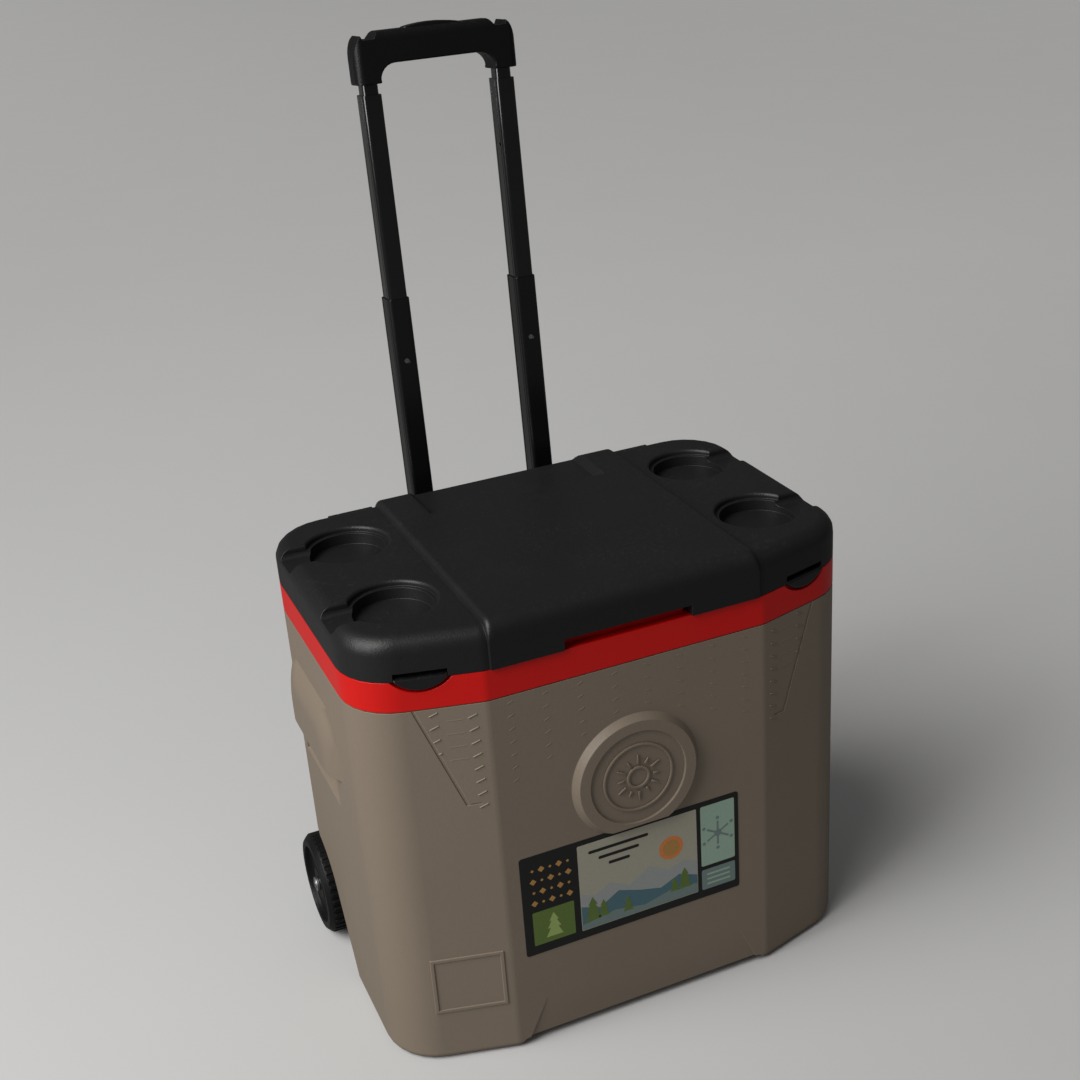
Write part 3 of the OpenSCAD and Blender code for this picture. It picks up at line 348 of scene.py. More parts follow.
def finish(name, colour, rough=0.45, grain=(900.0, 0.6, 0.00005), tone=(0.05, 0.04), scuff_and_highlight_colour=None, scuff_and_highlight=0.0,
           dust=0.2, smears=0.4, rough_span=0.12, coat=0.0, coat_rough=0.2, metallic=0.0, specular=0.5,
           drawn=0.0):
    """Builds a procedural finish: colour variation, lighter crisp edges that stand partly for scuffing and
    partly for a painted edge highlight, dust, smears and moulded grain.
    """
    known = bpy.data.materials.get(name)
    if known:
        return known
    material = bpy.data.materials.new(name)
    material.use_nodes = True
    tree = material.node_tree
    tree.nodes.clear()
    out = tree.nodes.new("ShaderNodeOutputMaterial")
    shader = tree.nodes.new("ShaderNodeBsdfPrincipled")
    tree.links.new(shader.outputs[0], out.inputs["Surface"])
    shader.inputs["Metallic"].default_value = metallic
    shader.inputs["Specular IOR Level"].default_value = specular
    shader.inputs["IOR"].default_value = SURFACE_IOR
    shader.inputs["Coat Weight"].default_value = coat
    shader.inputs["Coat Roughness"].default_value = coat_rough
    tones = place_group(tree, "Moulded Tone", Slow=tone[0], Fine=tone[1])
    base = scale_colour(tree, colour, tones.outputs[0])
    # Marked edges are lightened: partly scuffing, partly a painted highlight along crisp edges.
    if scuff_and_highlight:
        mask = place_group(tree, "Edge Wear And Highlight", Amount=scuff_and_highlight)
        lighter = scuff_and_highlight_colour or tuple(min(1.0, c * 2.2 + 0.02) for c in colour[:3])
        base = mix_colour(tree, mask.outputs[0], base, lighter)
    dusty = place_group(tree, "Dust", Dust=dust, Smears=smears)
    base = mix_colour(tree, dusty.outputs["Dust"], base, (0.42, 0.40, 0.37))
    tree.links.new(base, shader.inputs["Base Color"])
    smeared = add_math(tree, "MULTIPLY_ADD", dusty.outputs["Smears"], rough_span)
    smeared.node.inputs[2].default_value = rough
    rougher = add_math(tree, "MULTIPLY_ADD", dusty.outputs["Dust"], 0.4, True)
    tree.links.new(smeared, rougher.node.inputs[2])
    tree.links.new(rougher, shader.inputs["Roughness"])
    if drawn:
        height = place_group(tree, "Drawn Lines", Scale=grain[0]).outputs[0]
    else:
        height = place_group(tree, "Moulded Grain", Scale=grain[0], Pebble=grain[1]).outputs[0]
    bump = tree.nodes.new("ShaderNodeBump")
    bump.inputs["Strength"].default_value = 1.0
    bump.inputs["Distance"].default_value = grain[2]
    tree.links.new(height, bump.inputs["Height"])
    tree.links.new(bump.outputs[0], shader.inputs["Normal"])
    return material


def colours():
    """The colours that the panel offers."""
    return bpy.context.scene.cooler_colours


def sizes():
    """The sizes that the panel offers."""
    return bpy.context.scene.cooler_sizes


def body_plastic():
    return finish("body_plastic", colours().taupe, 0.42, (520.0, 0.5, 0.00006), (0.05, 0.05),
                  scuff_and_highlight=0.2, dust=0.15, smears=0.5, specular=0.35)


def rim_plastic():
    return finish("rim_plastic", colours().red, 0.3, (420.0, 0.2, 0.000018), (0.04, 0.02),
                  scuff_and_highlight_colour=(0.72, 0.07, 0.05), scuff_and_highlight=0.25, dust=0.04, smears=0.5, specular=0.28)


def lid_plastic():
    return finish("lid_plastic", colours().lid_black, 0.4, (760.0, 0.9, 0.00011), (0.10, 0.20),
                  scuff_and_highlight_colour=(0.05, 0.05, 0.05), scuff_and_highlight=0.15, dust=0.05, smears=0.6, rough_span=0.16,
                  specular=0.38)


def tab_plastic():
    return finish("tab_plastic", (0.009, 0.009, 0.0095), 0.2, (500.0, 0.3, 0.00002), (0.1, 0.05),
                  scuff_and_highlight_colour=(0.05, 0.05, 0.05), scuff_and_highlight=0.3, dust=0.1)


def tube_paint(name="tube_paint", rough=0.26, coat=0.4):
    return finish(name, colours().tube_black, rough, (700.0, 0.2, 0.00001), (0.1, 0.05),
                  scuff_and_highlight_colour=(0.06, 0.06, 0.062), scuff_and_highlight=0.35, dust=0.03, smears=0.5, rough_span=0.12, coat=coat,
                  coat_rough=rough * 0.6)


def fitting_plastic():
    return finish("fitting_plastic", (0.008, 0.008, 0.0083), 0.4, (700.0, 0.7, 0.00007), (0.1, 0.12),
                  scuff_and_highlight_colour=(0.06, 0.06, 0.06), scuff_and_highlight=0.4, dust=0.25)


def grip_plastic():
    return finish("grip_plastic", (0.0055, 0.0055, 0.0058), 0.36, (820.0, 0.9, 0.00009), (0.1, 0.15),
                  scuff_and_highlight_colour=(0.035, 0.035, 0.035), scuff_and_highlight=0.35, dust=0.06, smears=0.6, specular=0.3)


def button_plastic():
    return finish("button_plastic", (0.006, 0.006, 0.0065), 0.28, (600.0, 0.3, 0.00003), (0.1, 0.06),
                  scuff_and_highlight_colour=(0.05, 0.05, 0.05), scuff_and_highlight=0.3, dust=0.12)


def wheel_plastic():
    return finish("wheel_plastic", colours().wheel_black, 0.4, (600.0, 0.6, 0.00009), (0.15, 0.15),
                  scuff_and_highlight_colour=(0.025, 0.024, 0.023), scuff_and_highlight=0.35, dust=0.05, smears=0.6, specular=0.25)


def liner_plastic():
    return finish("liner_plastic", colours().liner_white, 0.32, (380.0, 0.4, 0.00004), (0.02, 0.02),
                  scuff_and_highlight_colour=(0.8, 0.8, 0.78), scuff_and_highlight=0.2, dust=0.1)


def glide_plastic():
    return finish("glide_plastic", (0.62, 0.62, 0.59), 0.4, (700.0, 0.4, 0.00003), (0.03, 0.03), dust=0.1)


def rigid_foam():
    return finish("rigid_foam", (0.72, 0.60, 0.34), 0.85, (300.0, 1.6, 0.0006), (0.12, 0.16), dust=0.0)


def bright_steel():
    return finish("bright_steel", (0.60, 0.60, 0.61), 0.28, (1500.0, 0.0, 0.00001), (0.05, 0.06), dust=0.1,
                  metallic=1.0, drawn=1.0)


def zinc_steel():
    return finish("zinc_steel", (0.56, 0.57, 0.58), 0.36, (900.0, 0.5, 0.00003), (0.10, 0.10), dust=0.1,
                  scuff_and_highlight_colour=(0.7, 0.7, 0.7), scuff_and_highlight=0.4, metallic=1.0)


def print_ink(name, colour):
    return finish(name, colour, 0.38, (1400.0, 0.3, 0.000006), (0.04, 0.10), dust=0.03, smears=0.3, coat=0.1,
                  coat_rough=0.25, specular=0.35)


# ------------------------------------------------------------------ making pieces

def link(name, bm, materials, body, replaced=(), weighted=True, smooth=35.0):
    """Turns a bmesh into a piece that rides on a body."""
    mesh = bpy.data.meshes.new(name)
    bm.to_mesh(mesh)
    bm.free()
    mesh.polygons.foreach_set("use_smooth", [True] * len(mesh.polygons))
    mesh.set_sharp_from_angle(angle=math.radians(smooth))
    for material in materials:
        mesh.materials.append(material)
    piece = bpy.data.objects.new(name, mesh)
    bpy.context.scene.collection.objects.link(piece)
    if weighted:
        normals = piece.modifiers.new("Weighted normals", "WEIGHTED_NORMAL")
        normals.keep_sharp = True
        normals.weight = 60
    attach(piece, body)
    if replaced:
        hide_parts(*replaced)
    return piece


def mark_edges(bm, faces):
    """Marks faces that lie on a crisp edge, for the scuffing and the painted edge highlight."""
    layer = bm.faces.layers.float.get("edge") or bm.faces.layers.float.new("edge")
    for face in faces:
        if face.is_valid:
            face[layer] = 1.0


def merged_copy(node):
    """A bmesh of a CAD node, its loose triangles merged into flat faces."""
    bm = bmesh.new()
    bm.from_mesh(frame["nodes"][node].data)
    for face in bm.faces:
        face.material_index = 0
    bmesh.ops.remove_doubles(bm, verts=bm.verts, dist=2e-5)
    bmesh.ops.dissolve_limit(bm, angle_limit=math.radians(0.8), verts=bm.verts, edges=bm.edges)
    bmesh.ops.dissolve_degenerate(bm, edges=bm.edges, dist=3e-5)
    return bm


def surface(bm):
    """Area of a bmesh once its faces are cut into triangles."""
    flat = bm.copy()
    bmesh.ops.triangulate(flat, faces=flat.faces)
    area = sum(face.calc_area() for face in flat.faces)
    flat.free()
    return area


def bevel_edges(bm, width, segments, sharper_than, where):
    """Bevels the crisp edges of a bmesh and returns the new faces."""
    limit = math.radians(sharper_than)
    crisp = [e for e in bm.edges if e.is_manifold and e.calc_face_angle(0) > limit
             and (where is None or where(e))]
    made = bmesh.ops.bevel(
        bm, geom=crisp, offset=width, offset_type="OFFSET", segments=segments, profile=0.5, affect="EDGES",
        clamp_overlap=False, material=-1, loop_slide=True)
    return made["faces"]


def round_edges(bm, width, segments=2, sharper_than=30.0, where=None):
    """Rounds the crisp edges of a bmesh, by less where narrow faces would fold, and marks the new faces."""
    most = surface(bm) * AREA_SLACK
    while width > LEAST_ROUND:
        trial = bm.copy()
        bevel_edges(trial, width, segments, sharper_than, where)
        folded = surface(trial) > most
        trial.free()
        if not folded:
            mark_edges(bm, bevel_edges(bm, width, segments, sharper_than, where))
            break
        width *= 0.7
    return bm


def soft_copy(node, material, body, width, segments=2):
    """A copy of a CAD node with rounded edges, which stands for it."""
    bm = round_edges(merged_copy(node), width, segments)
    return link(node + "_soft", bm, [material], body, [node])


def paint_node(node, material):
    """Gives a CAD node's own object a better material."""
    for slot in frame["nodes"][node].material_slots:
        slot.material = material


def handle_place(x=0.0, y=0.0, s=0.0):
    """Places a shape on the leaning handle: x across, y to the back, s along the tubes."""
    foot = Vector((0, RIM_HIGH.y + sizes().handle_out, TUBE_LOW.z + HANDLE_FOOT_RISE))
    return Matrix.Translation(foot) @ Matrix.Rotation(-sizes().lean, 4, "X") @ Matrix.Translation((x, y, s))


def facet_place(side, x, z):
    """Places a shape on a front facet: its x runs to the right along it, its z out of it."""
    y = RIM_LOW.y + (x - PANEL_EDGE) * math.tan(SWEEP)
    return Matrix.Translation((side * x, y, z)) @ Matrix.Rotation(side * SWEEP, 4, "Z") @ TO_FRONT


def panel_place(x, z):
    """Places a shape on the flat front panel: its x runs to the right, its z out of it."""
    return Matrix.Translation((x, RIM_LOW.y, z)) @ TO_FRONT


def turned(profile, steps=48):
    """Spins a profile of (radius, height) points round the z axis into a closed shape."""
    bm = bmesh.new()
    verts = [bm.verts.new((r, 0, z)) for r, z in profile]
    edges = [bm.edges.new(pair) for pair in zip(verts, verts[1:])]
    bmesh.ops.spin(bm, geom=verts + edges, cent=(0, 0, 0), axis=(0, 0, 1), angle=math.tau, steps=steps,
                   use_merge=True)
    bmesh.ops.remove_doubles(bm, verts=bm.verts, dist=1e-6)
    bmesh.ops.recalc_face_normals(bm, faces=bm.faces)
    return bm


def box_mesh(low, high):
    """A bmesh block from corner to corner."""
    bm = bmesh.new()
    size = [b - a for a, b in zip(low, high)]
    middle = [(a + b) / 2 for a, b in zip(low, high)]
    bmesh.ops.create_cube(bm, size=1.0, matrix=Matrix.Translation(middle) @ Matrix.Diagonal((*size, 1.0)))
    return bm


def joined(parts):
    """Joins bmeshes into one."""
    whole = bmesh.new()
    for part in parts:
        mesh = bpy.data.meshes.new("part")
        part.to_mesh(mesh)
        part.free()
        whole.from_mesh(mesh)
        bpy.data.meshes.remove(mesh)
    return whole


def cut(target, tool):
    """Cuts the tool's shape out of the target and returns the result."""
    objects = []
    for bm in (target, tool):
        mesh = bpy.data.meshes.new("cutting")
        bm.to_mesh(mesh)
        bm.free()
        objects.append(bpy.data.objects.new("cutting", mesh))
        bpy.context.scene.collection.objects.link(objects[-1])
    body, blade = objects
    modifier = body.modifiers.new("Cut", "BOOLEAN")
    modifier.operation = "DIFFERENCE"
    modifier.solver = "EXACT"
    modifier.object = blade
    shaped = body.evaluated_get(bpy.context.evaluated_depsgraph_get()).to_mesh()
    bm = bmesh.new()
    bm.from_mesh(shaped)
    for item in objects:
        mesh = item.data
        bpy.data.objects.remove(item)
        bpy.data.meshes.remove(mesh)
    bmesh.ops.remove_doubles(bm, verts=bm.verts, dist=1e-6)
    return bm


def moved(bm, matrix):
    """Moves a bmesh by a matrix and returns it."""
    bmesh.ops.transform(bm, matrix=matrix, verts=bm.verts)
    return bm


# ------------------------------------------------------------------ operators

class CoolerOperator(bpy.types.Operator):
    """Base of the operators that dress the cooler."""

    bl_options = {"REGISTER", "UNDO"}


class COOLER_OT_stage(CoolerOperator):
    """Make the floor, the lamps, the world and the camera."""

    bl_idname = "cooler.stage"
    bl_label = "Stage"

    def execute(self, context):
        scene = context.scene
        scene.view_settings.view_transform = "Standard"
        bm = bmesh.new()
        bmesh.ops.create_grid(bm, x_segments=8, y_segments=8, size=30.0)
        mesh = bpy.data.meshes.new("floor")
        bm.to_mesh(mesh)
        bm.free()
        floor = bpy.data.objects.new("floor", mesh)
        scene.collection.objects.link(floor)
        mesh.materials.append(self.floor_material())
        self.lamps(scene)
        self.world(scene)
        self.camera(scene)
        return {"FINISHED"}

    def floor_material(self):
        material = bpy.data.materials.new("floor_paper")
        material.use_nodes = True
        tree = material.node_tree
        shader = tree.nodes["Principled BSDF"]
        shader.inputs["Roughness"].default_value = 0.9
        shader.inputs["Specular IOR Level"].default_value = 0.2
        coords = object_coords(tree)
        apart = tree.nodes.new("ShaderNodeSeparateXYZ")
        tree.links.new(coords, apart.inputs[0])
        # Floor colour: a faint random tone times a painted light falloff, lighter to the left and the back,
        # darker to the right and the front.
        tone = add_range(tree, add_noise(tree, coords, 3.0, 3.0), 0.3, 0.7, 0.995, 1.005)
        painted_falloff_back = add_range(tree, apart.outputs["Y"], -1.0, 2.0, 0.85, 1.12)
        along = add_range(tree, apart.outputs["X"], -3.0, 4.0, 1.08, 0.88)
        tone = add_math(tree, "MULTIPLY", tone, add_math(tree, "MULTIPLY", painted_falloff_back, along))
        # The camera sees the floor a third lighter. In reflections it is darker, as painted shade in what
        # the cooler reflects.
        path = tree.nodes.new("ShaderNodeLightPath")
        seen = add_math(tree, "MULTIPLY_ADD", path.outputs["Is Camera Ray"], 0.30)
        seen.node.inputs[2].default_value = 1.0
        level = add_math(tree, "MULTIPLY_ADD", path.outputs["Is Glossy Ray"], -0.65)
        tree.links.new(seen, level.node.inputs[2])
        tree.links.new(scale_colour(tree, colours().floor_grey, add_math(tree, "MULTIPLY", tone, level)),
                       shader.inputs["Base Color"])
        return material

    def lamps(self, scene):
        key = bpy.data.lights.new("window_light", "SUN")
        key.energy = 1.75
        key.angle = math.radians(42)
        key.color = (1.0, 0.985, 0.96)
        lamp = bpy.data.objects.new("window_light", key)
        scene.collection.objects.link(lamp)
        lamp.rotation_euler = Vector((0.60, 0.10, -0.79)).to_track_quat("-Z", "Y").to_euler()
        soft = bpy.data.lights.new("soft_box", "AREA")
        soft.energy = 17.0
        soft.shape = "RECTANGLE"
        soft.size, soft.size_y = 0.9, 1.3
        box = bpy.data.objects.new("soft_box", soft)
        scene.collection.objects.link(box)
        box.location = (-1.35, MIDDLE - 0.42, 1.15)
        box.rotation_euler = (Vector((0, 0, 0.3)) - box.location).to_track_quat("-Z", "Y").to_euler()

    def world(self, scene):
        world = bpy.data.worlds.new("studio")
        scene.world = world
        world.use_nodes = True
        tree = world.node_tree
        back = tree.nodes["Background"]
        path = tree.nodes.new("ShaderNodeLightPath")
        seen = add_math(tree, "MAXIMUM", path.outputs["Is Camera Ray"], path.outputs["Is Transmission Ray"])
        ambient = tree.nodes.new("ShaderNodeMix")
        ambient.data_type = "FLOAT"
        ambient.inputs[2].default_value = 0.15
        ambient.inputs[3].default_value = 0.06
        tree.links.new(path.outputs["Is Glossy Ray"], ambient.inputs[0])
        level = tree.nodes.new("ShaderNodeMix")
        level.data_type = "FLOAT"
        level.inputs[3].default_value = 0.42
        tree.links.new(seen, level.inputs[0])
        tree.links.new(ambient.outputs[0], level.inputs[2])
        tree.links.new(level.outputs[0], back.inputs["Strength"])
        back.inputs["Color"].default_value = (1.0, 1.0, 1.0, 1.0)

    def camera(self, scene):
        data = bpy.data.cameras.new("camera")
        data.lens, data.sensor_width = 50.72, 36.0
        data.clip_start, data.clip_end = 0.01, 100.0
        camera = bpy.data.objects.new("camera", data)
        scene.collection.objects.link(camera)
        scene.camera = camera
        around, above, roll = math.radians(-21.563), math.radians(24.679), math.radians(-4.324)
        level = math.cos(above)
        back = Vector((math.sin(around) * level, -math.cos(around) * level, math.sin(above)))
        right = (-back).cross(Vector((0, 0, 1))).normalized()
        up = right.cross(-back)
        across = right * math.cos(roll) + up * math.sin(roll)
        upright = up * math.cos(roll) - right * math.sin(roll)
        turn = Matrix((across, upright, back)).transposed().to_4x4()
        camera.matrix_world = Matrix.Translation((-0.4493, RIM_LOW.y - 0.96177, 0.94781)) @ turn


class COOLER_OT_shell(CoolerOperator):
    """Dress the outer shell in taupe plastic with rounded edges."""

    bl_idname = "cooler.shell"
    bl_label = "Outer shell"

    def execute(self, context):
        soft_copy("outer_shell", body_plastic(), "cooler", sizes().edge * 0.8)
        return {"FINISHED"}


class COOLER_OT_strokes(CoolerOperator):
    """Set the columns of slanted raised strokes below the rim."""

    bl_idname = "cooler.strokes"
    bl_label = "Raised strokes"

    def one_stroke(self, place, tilt, length, height):
        wide = sizes().stroke_width
        bm = box_mesh((-length / 2, -wide / 2, -height), (length / 2, wide / 2, height))
        top = [v for v in bm.verts if v.co.z > 0]
        bmesh.ops.scale(bm, verts=top, vec=(0.8, 0.35, 1.0))
        bmesh.ops.bevel(bm, geom=list(bm.edges), offset=height * 0.35, offset_type="OFFSET", segments=2,
                        profile=0.5, affect="EDGES", material=-1)
        bmesh.ops.rotate(bm, verts=bm.verts, matrix=Matrix.Rotation(tilt, 3, "Z"))
        return moved(bm, place)

    def execute(self, context):
        size = sizes()
        full, pitch = size.stroke_length, size.stroke_pitch
        tilt = math.radians(23)
        parts = []
        for side in (-1, 1):
            for row, part in enumerate((0.95, 1.0, 0.78, 0.38)):
                length = full * part
                place = facet_place(side, 0.1598 + length * 0.46, SHELL_TOP - 0.005 - row * pitch)
                parts.append(self.one_stroke(place, -side * tilt, length, 0.00075))
            for row in range(8):
                x = 0.1348 - 0.0003 * row
                z = SHELL_TOP - 0.0104 - row * pitch
                parts.append(self.one_stroke(facet_place(side, x, z), -side * tilt, full, 0.00075))
                if row < 4:
                    ridge = 0.0158 + 0.0006 * row
                    parts.append(self.one_stroke(facet_place(side, 0.148, z - 0.002), 0.0, ridge, 0.00016))
            for step in range(4):
                x = 0.1045 - step * size.column_pitch
                for row in range(7 - step):
                    place = panel_place(side * x, SHELL_TOP - 0.006 - row * pitch)
                    parts.append(self.one_stroke(place, -side * tilt, full * 0.62, 0.00022))
        link("raised_strokes", joined(parts), [body_plastic()], "cooler",
             weighted=False, smooth=50.0)
        return {"FINISHED"}


class COOLER_OT_medallion(CoolerOperator):
    """Raise a plain ring and a sun of short rays in the round medallion."""

    bl_idname = "cooler.medallion"
    bl_label = "Medallion relief"

    def execute(self, context):
        size = sizes()
        high = size.relief
        parts = []
        for radius, wide in ((0.031, 0.0011), (0.0095, 0.0012)):
            inner, outer = radius - wide, radius + wide
            parts.append(turned([(inner, -high), (inner, high * 0.6), (radius - wide * 0.6, high),
                                 (radius + wide * 0.6, high), (outer, high * 0.6), (outer, -high),
                                 (inner, -high)], 96))
        for i in range(12):
            long = 0.0085 if i % 2 else 0.0055
            ray = box_mesh((0.0135, -0.0011, -high), (0.0135 + long, 0.0011, high))
            outer = [v for v in ray.verts if v.co.x > 0.014]
            bmesh.ops.scale(ray, verts=outer, vec=(1.0, 0.35, 1.0))
            bmesh.ops.bevel(ray, geom=list(ray.edges), offset=high * 0.4, offset_type="OFFSET", segments=2,
                            profile=0.5, affect="EDGES", material=-1)
            parts.append(moved(ray, Matrix.Rotation(math.tau * i / 12, 4, "Z")))
        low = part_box("outer_shell")[0].y
        place = Matrix.Translation((0, low + 0.001, size.medallion_height)) @ TO_FRONT
        link("medallion_relief", moved(joined(parts), place), [body_plastic()], "cooler",
             weighted=False, smooth=50.0)
        return {"FINISHED"}


class COOLER_OT_rim(CoolerOperator):
    """Dress the red rim."""

    bl_idname = "cooler.rim"
    bl_label = "Rim"

    def execute(self, context):
        soft_copy("rim", rim_plastic(), "cooler", sizes().edge)
        return {"FINISHED"}


class COOLER_OT_label(CoolerOperator):
    """Lay the printed label: a dark sticker with plain shapes for hills, sun and trees."""

    bl_idname = "cooler.label"
    bl_label = "Label"

    def shape(self, points, level, material):
        """A flat printed shape from its outline, in millimetres from the label's lower left corner."""
        bm = bmesh.new()
        face = bm.faces.new([bm.verts.new((x * MM, y * MM, 0)) for x, y in points])
        bm.normal_update()
        if face.normal.z < 0:
            face.normal_flip()
        risen = bmesh.ops.extrude_face_region(bm, geom=[face])
        verts = [g for g in risen["geom"] if isinstance(g, bmesh.types.BMVert)]
        bmesh.ops.translate(bm, verts=verts, vec=(0, 0, 0.00005 * level))
        bmesh.ops.recalc_face_normals(bm, faces=bm.faces)
        for item in bm.faces:
            item.material_index = material
        base = Vector((LABEL_LOW.x, LABEL_LOW.y, LABEL_LOW.z))
        return moved(bm, Matrix.Translation(base) @ TO_FRONT)

    def rounded(self, left, low, right, high, radius, steps=5):
        """Outline of a box with round corners."""
        points = []
        for cx, cy, start in ((right - radius, low + radius, -90), (right - radius, high - radius, 0),
                              (left + radius, high - radius, 90), (left + radius, low + radius, 180)):
            for i in range(steps + 1):
                a = math.radians(start + 90 * i / steps)
                points.append((cx + radius * math.cos(a), cy + radius * math.sin(a)))
        return points

    def circle(self, x, y, radius, count=28):
        """Outline of a circle or a regular shape."""
        return [(x + radius * math.cos(math.tau * i / count), y + radius * math.sin(math.tau * i / count))
                for i in range(count)]

    def tree(self, x, y, height):
        """Outline of a fir in three tiers."""
        w = height * 0.32
        right = [(w, 0), (w * 0.45, 0.36), (w * 0.8, 0.36), (w * 0.32, 0.66), (w * 0.56, 0.66), (0, 1)]
        left = [(-u, v) for u, v in reversed(right[:-1])]
        return [(x + u, y + v * height) for u, v in right + left]

    def execute(self, context):
        black, cream, gold, green, pale, mint, teal, sky, orange, grey = range(10)
        inks = [print_ink("ink_" + name, value) for name, value in (
            ("black", (0.012, 0.013, 0.012)), ("cream", (0.36, 0.34, 0.27)), ("gold", (0.42, 0.22, 0.06)),
            ("green", (0.11, 0.17, 0.035)), ("leaf", (0.30, 0.40, 0.12)), ("mint", (0.30, 0.42, 0.33)),
            ("teal", (0.07, 0.15, 0.18)), ("haze", (0.30, 0.32, 0.31)), ("orange", (0.62, 0.20, 0.05)),
            ("grey", (0.16, 0.22, 0.21)))]
        plate = merged_copy("front_label")
        upright = [e for e in plate.edges if abs(e.verts[0].co.y - e.verts[1].co.y) > 1e-4]
        bmesh.ops.bevel(plate, geom=upright, offset=0.0025, offset_type="OFFSET", segments=5, profile=0.5,
                        affect="EDGES", material=-1)
        round_edges(plate, 0.00012, 1, 60.0)
        parts = [plate]

        def add(points, level, ink):
            parts.append(self.shape(points, level, ink))

        add(self.rounded(52, 8, 164, 95, 1.0), 1, cream)
        add([(52.6, 8.6), (163.4, 8.6), (163.4, 42), (150, 47), (136, 42), (118, 52), (98, 40), (80, 49),
             (66, 41), (52.6, 46)], 2, sky)
        add([(52.6, 8.6), (163.4, 8.6), (163.4, 27), (146, 34), (128, 26), (108, 31), (88, 38), (70, 27),
             (52.6, 33)], 3, teal)
        add([(52.6, 8.6), (163.4, 8.6), (163.4, 18), (140, 21), (112, 14), (84, 19), (52.6, 14)], 4, grey)
        add(self.circle(139, 64, 11.5), 2, orange)
        add(self.circle(139, 64, 8.0), 3, gold)
        for x, y, height in ((63, 16, 24), (73, 17, 17), (151, 18, 21), (141, 18, 14), (96, 14, 15)):
            add(self.tree(x, y, height), 5, green)
        for i in range(3):
            add(self.rounded(62 + i * 9, 84 - i * 8, 118 - i * 9, 87 - i * 8, 1.4, 3), 2, black)
        add(self.rounded(168, 33, 201, 95, 1.5), 1, mint)
        for i in range(3):
            a = math.radians(60 * i + 30)
            c, s = math.cos(a), math.sin(a)
            arm = [(-12, -0.9), (12, -0.9), (12, 0.9), (-12, 0.9)]
            add([(184.5 + u * c - v * s, 64 + u * s + v * c) for u, v in arm], 2 + i, grey)
        add(self.circle(184.5, 64, 3.6, 6), 5, grey)
        for i in range(6):
            a = math.radians(60 * i + 30)
            add(self.circle(184.5 + 15.5 * math.cos(a), 64 + 15.5 * math.sin(a), 1.7, 14), 2, grey)
        add(self.rounded(168, 8, 201, 29, 1.5), 1, grey)
        for i in range(3):
            add(self.rounded(173, 12.5 + i * 5, 196, 14.2 + i * 5, 0.8, 3), 2, mint)
        add(self.rounded(8, 9, 46, 43, 1.0), 1, green)
        add(self.tree(27, 14, 24), 2, pale)
        for row in range(4):
            y = 85 - row * 11
            for i in range(5):
                x = 11 + i * 8
                reach = 3.1 if (row + i) % 2 else 1.5
                add([(x - reach, y), (x, y - reach), (x + reach, y), (x, y + reach)], 1, gold)
        link("label_print", joined(parts), inks, "cooler", ["front_label"], weighted=False)
        return {"FINISHED"}


class COOLER_OT_lid(CoolerOperator):
    """Dress the lid and its lower skin."""

    bl_idname = "cooler.lid"
    bl_label = "Lid"

    def execute(self, context):
        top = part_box("lid_shell")[1].z
        bm = merged_copy("lid_shell")
        round_edges(bm, 0.0013, 3, 30.0, lambda e: all(top - v.co.z < 1e-4 for v in e.verts))
        round_edges(bm, sizes().edge * 1.1, 3, 35.0)
        link("lid_shell_soft", bm, [lid_plastic()], "lid", ["lid_shell"])
        soft_copy("lid_liner", liner_plastic(), "lid", sizes().edge * 1.4, 3)
        return {"FINISHED"}


class COOLER_OT_tabs(CoolerOperator):
    """Dress the two pull tabs."""

    bl_idname = "cooler.tabs"
    bl_label = "Pull tabs"

    def execute(self, context):
        for side, sign in (("left", -1), ("right", 1)):
            outward = Vector((sign * math.sin(SWEEP), -math.cos(SWEEP), 0))
            bm = merged_copy("lid_tab_" + side)
            reach = max(v.co.dot(outward) for v in bm.verts)
            on_face = lambda e: all(reach - v.co.dot(outward) < FACE_SLACK for v in e.verts)
            round_edges(bm, 0.0026, 6, 30.0, on_face)
            round_edges(bm, sizes().edge * 0.8, 2, 35.0)
            link("lid_tab_" + side + "_soft", bm, [tab_plastic()], "lid", ["lid_tab_" + side])
        return {"FINISHED"}


class COOLER_OT_inside(CoolerOperator):
    """Dress the liner and the foam."""

    bl_idname = "cooler.inside"
    bl_label = "Liner and foam"

    def execute(self, context):
        soft_copy("liner", liner_plastic(), "cooler", sizes().edge * 1.4, 3)
        for node in ("body_foam", "lid_foam"):
            paint_node(node, rigid_foam())
        return {"FINISHED"}


class COOLER_OT_hinges(CoolerOperator):
    """Dress the hinge brackets, pins and screws."""

    bl_idname = "cooler.hinges"
    bl_label = "Hinges"

    def execute(self, context):
        for side in ("left", "right"):
            soft_copy("hinge_bracket_" + side, fitting_plastic(), "cooler", sizes().edge, 3)
        paint_node("hinge_pins", bright_steel())
        low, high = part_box("hinge_screws")
        parts = []
        for side in (-1, 1):
            for step in (-1, 1):
                place = Matrix.Translation((side * HINGE_SCREW_OUT + step * HINGE_SCREW_STEP,
                                            high.y - HINGE_SCREW_HEAD, (low.z + high.z) / 2))
                parts.append(moved(screw(0.0032, 0.0017, HINGE_SCREW_HEAD, 0.0095), place @ TO_BACK))
        link_screws("hinge_screws", parts, "cooler")
        return {"FINISHED"}


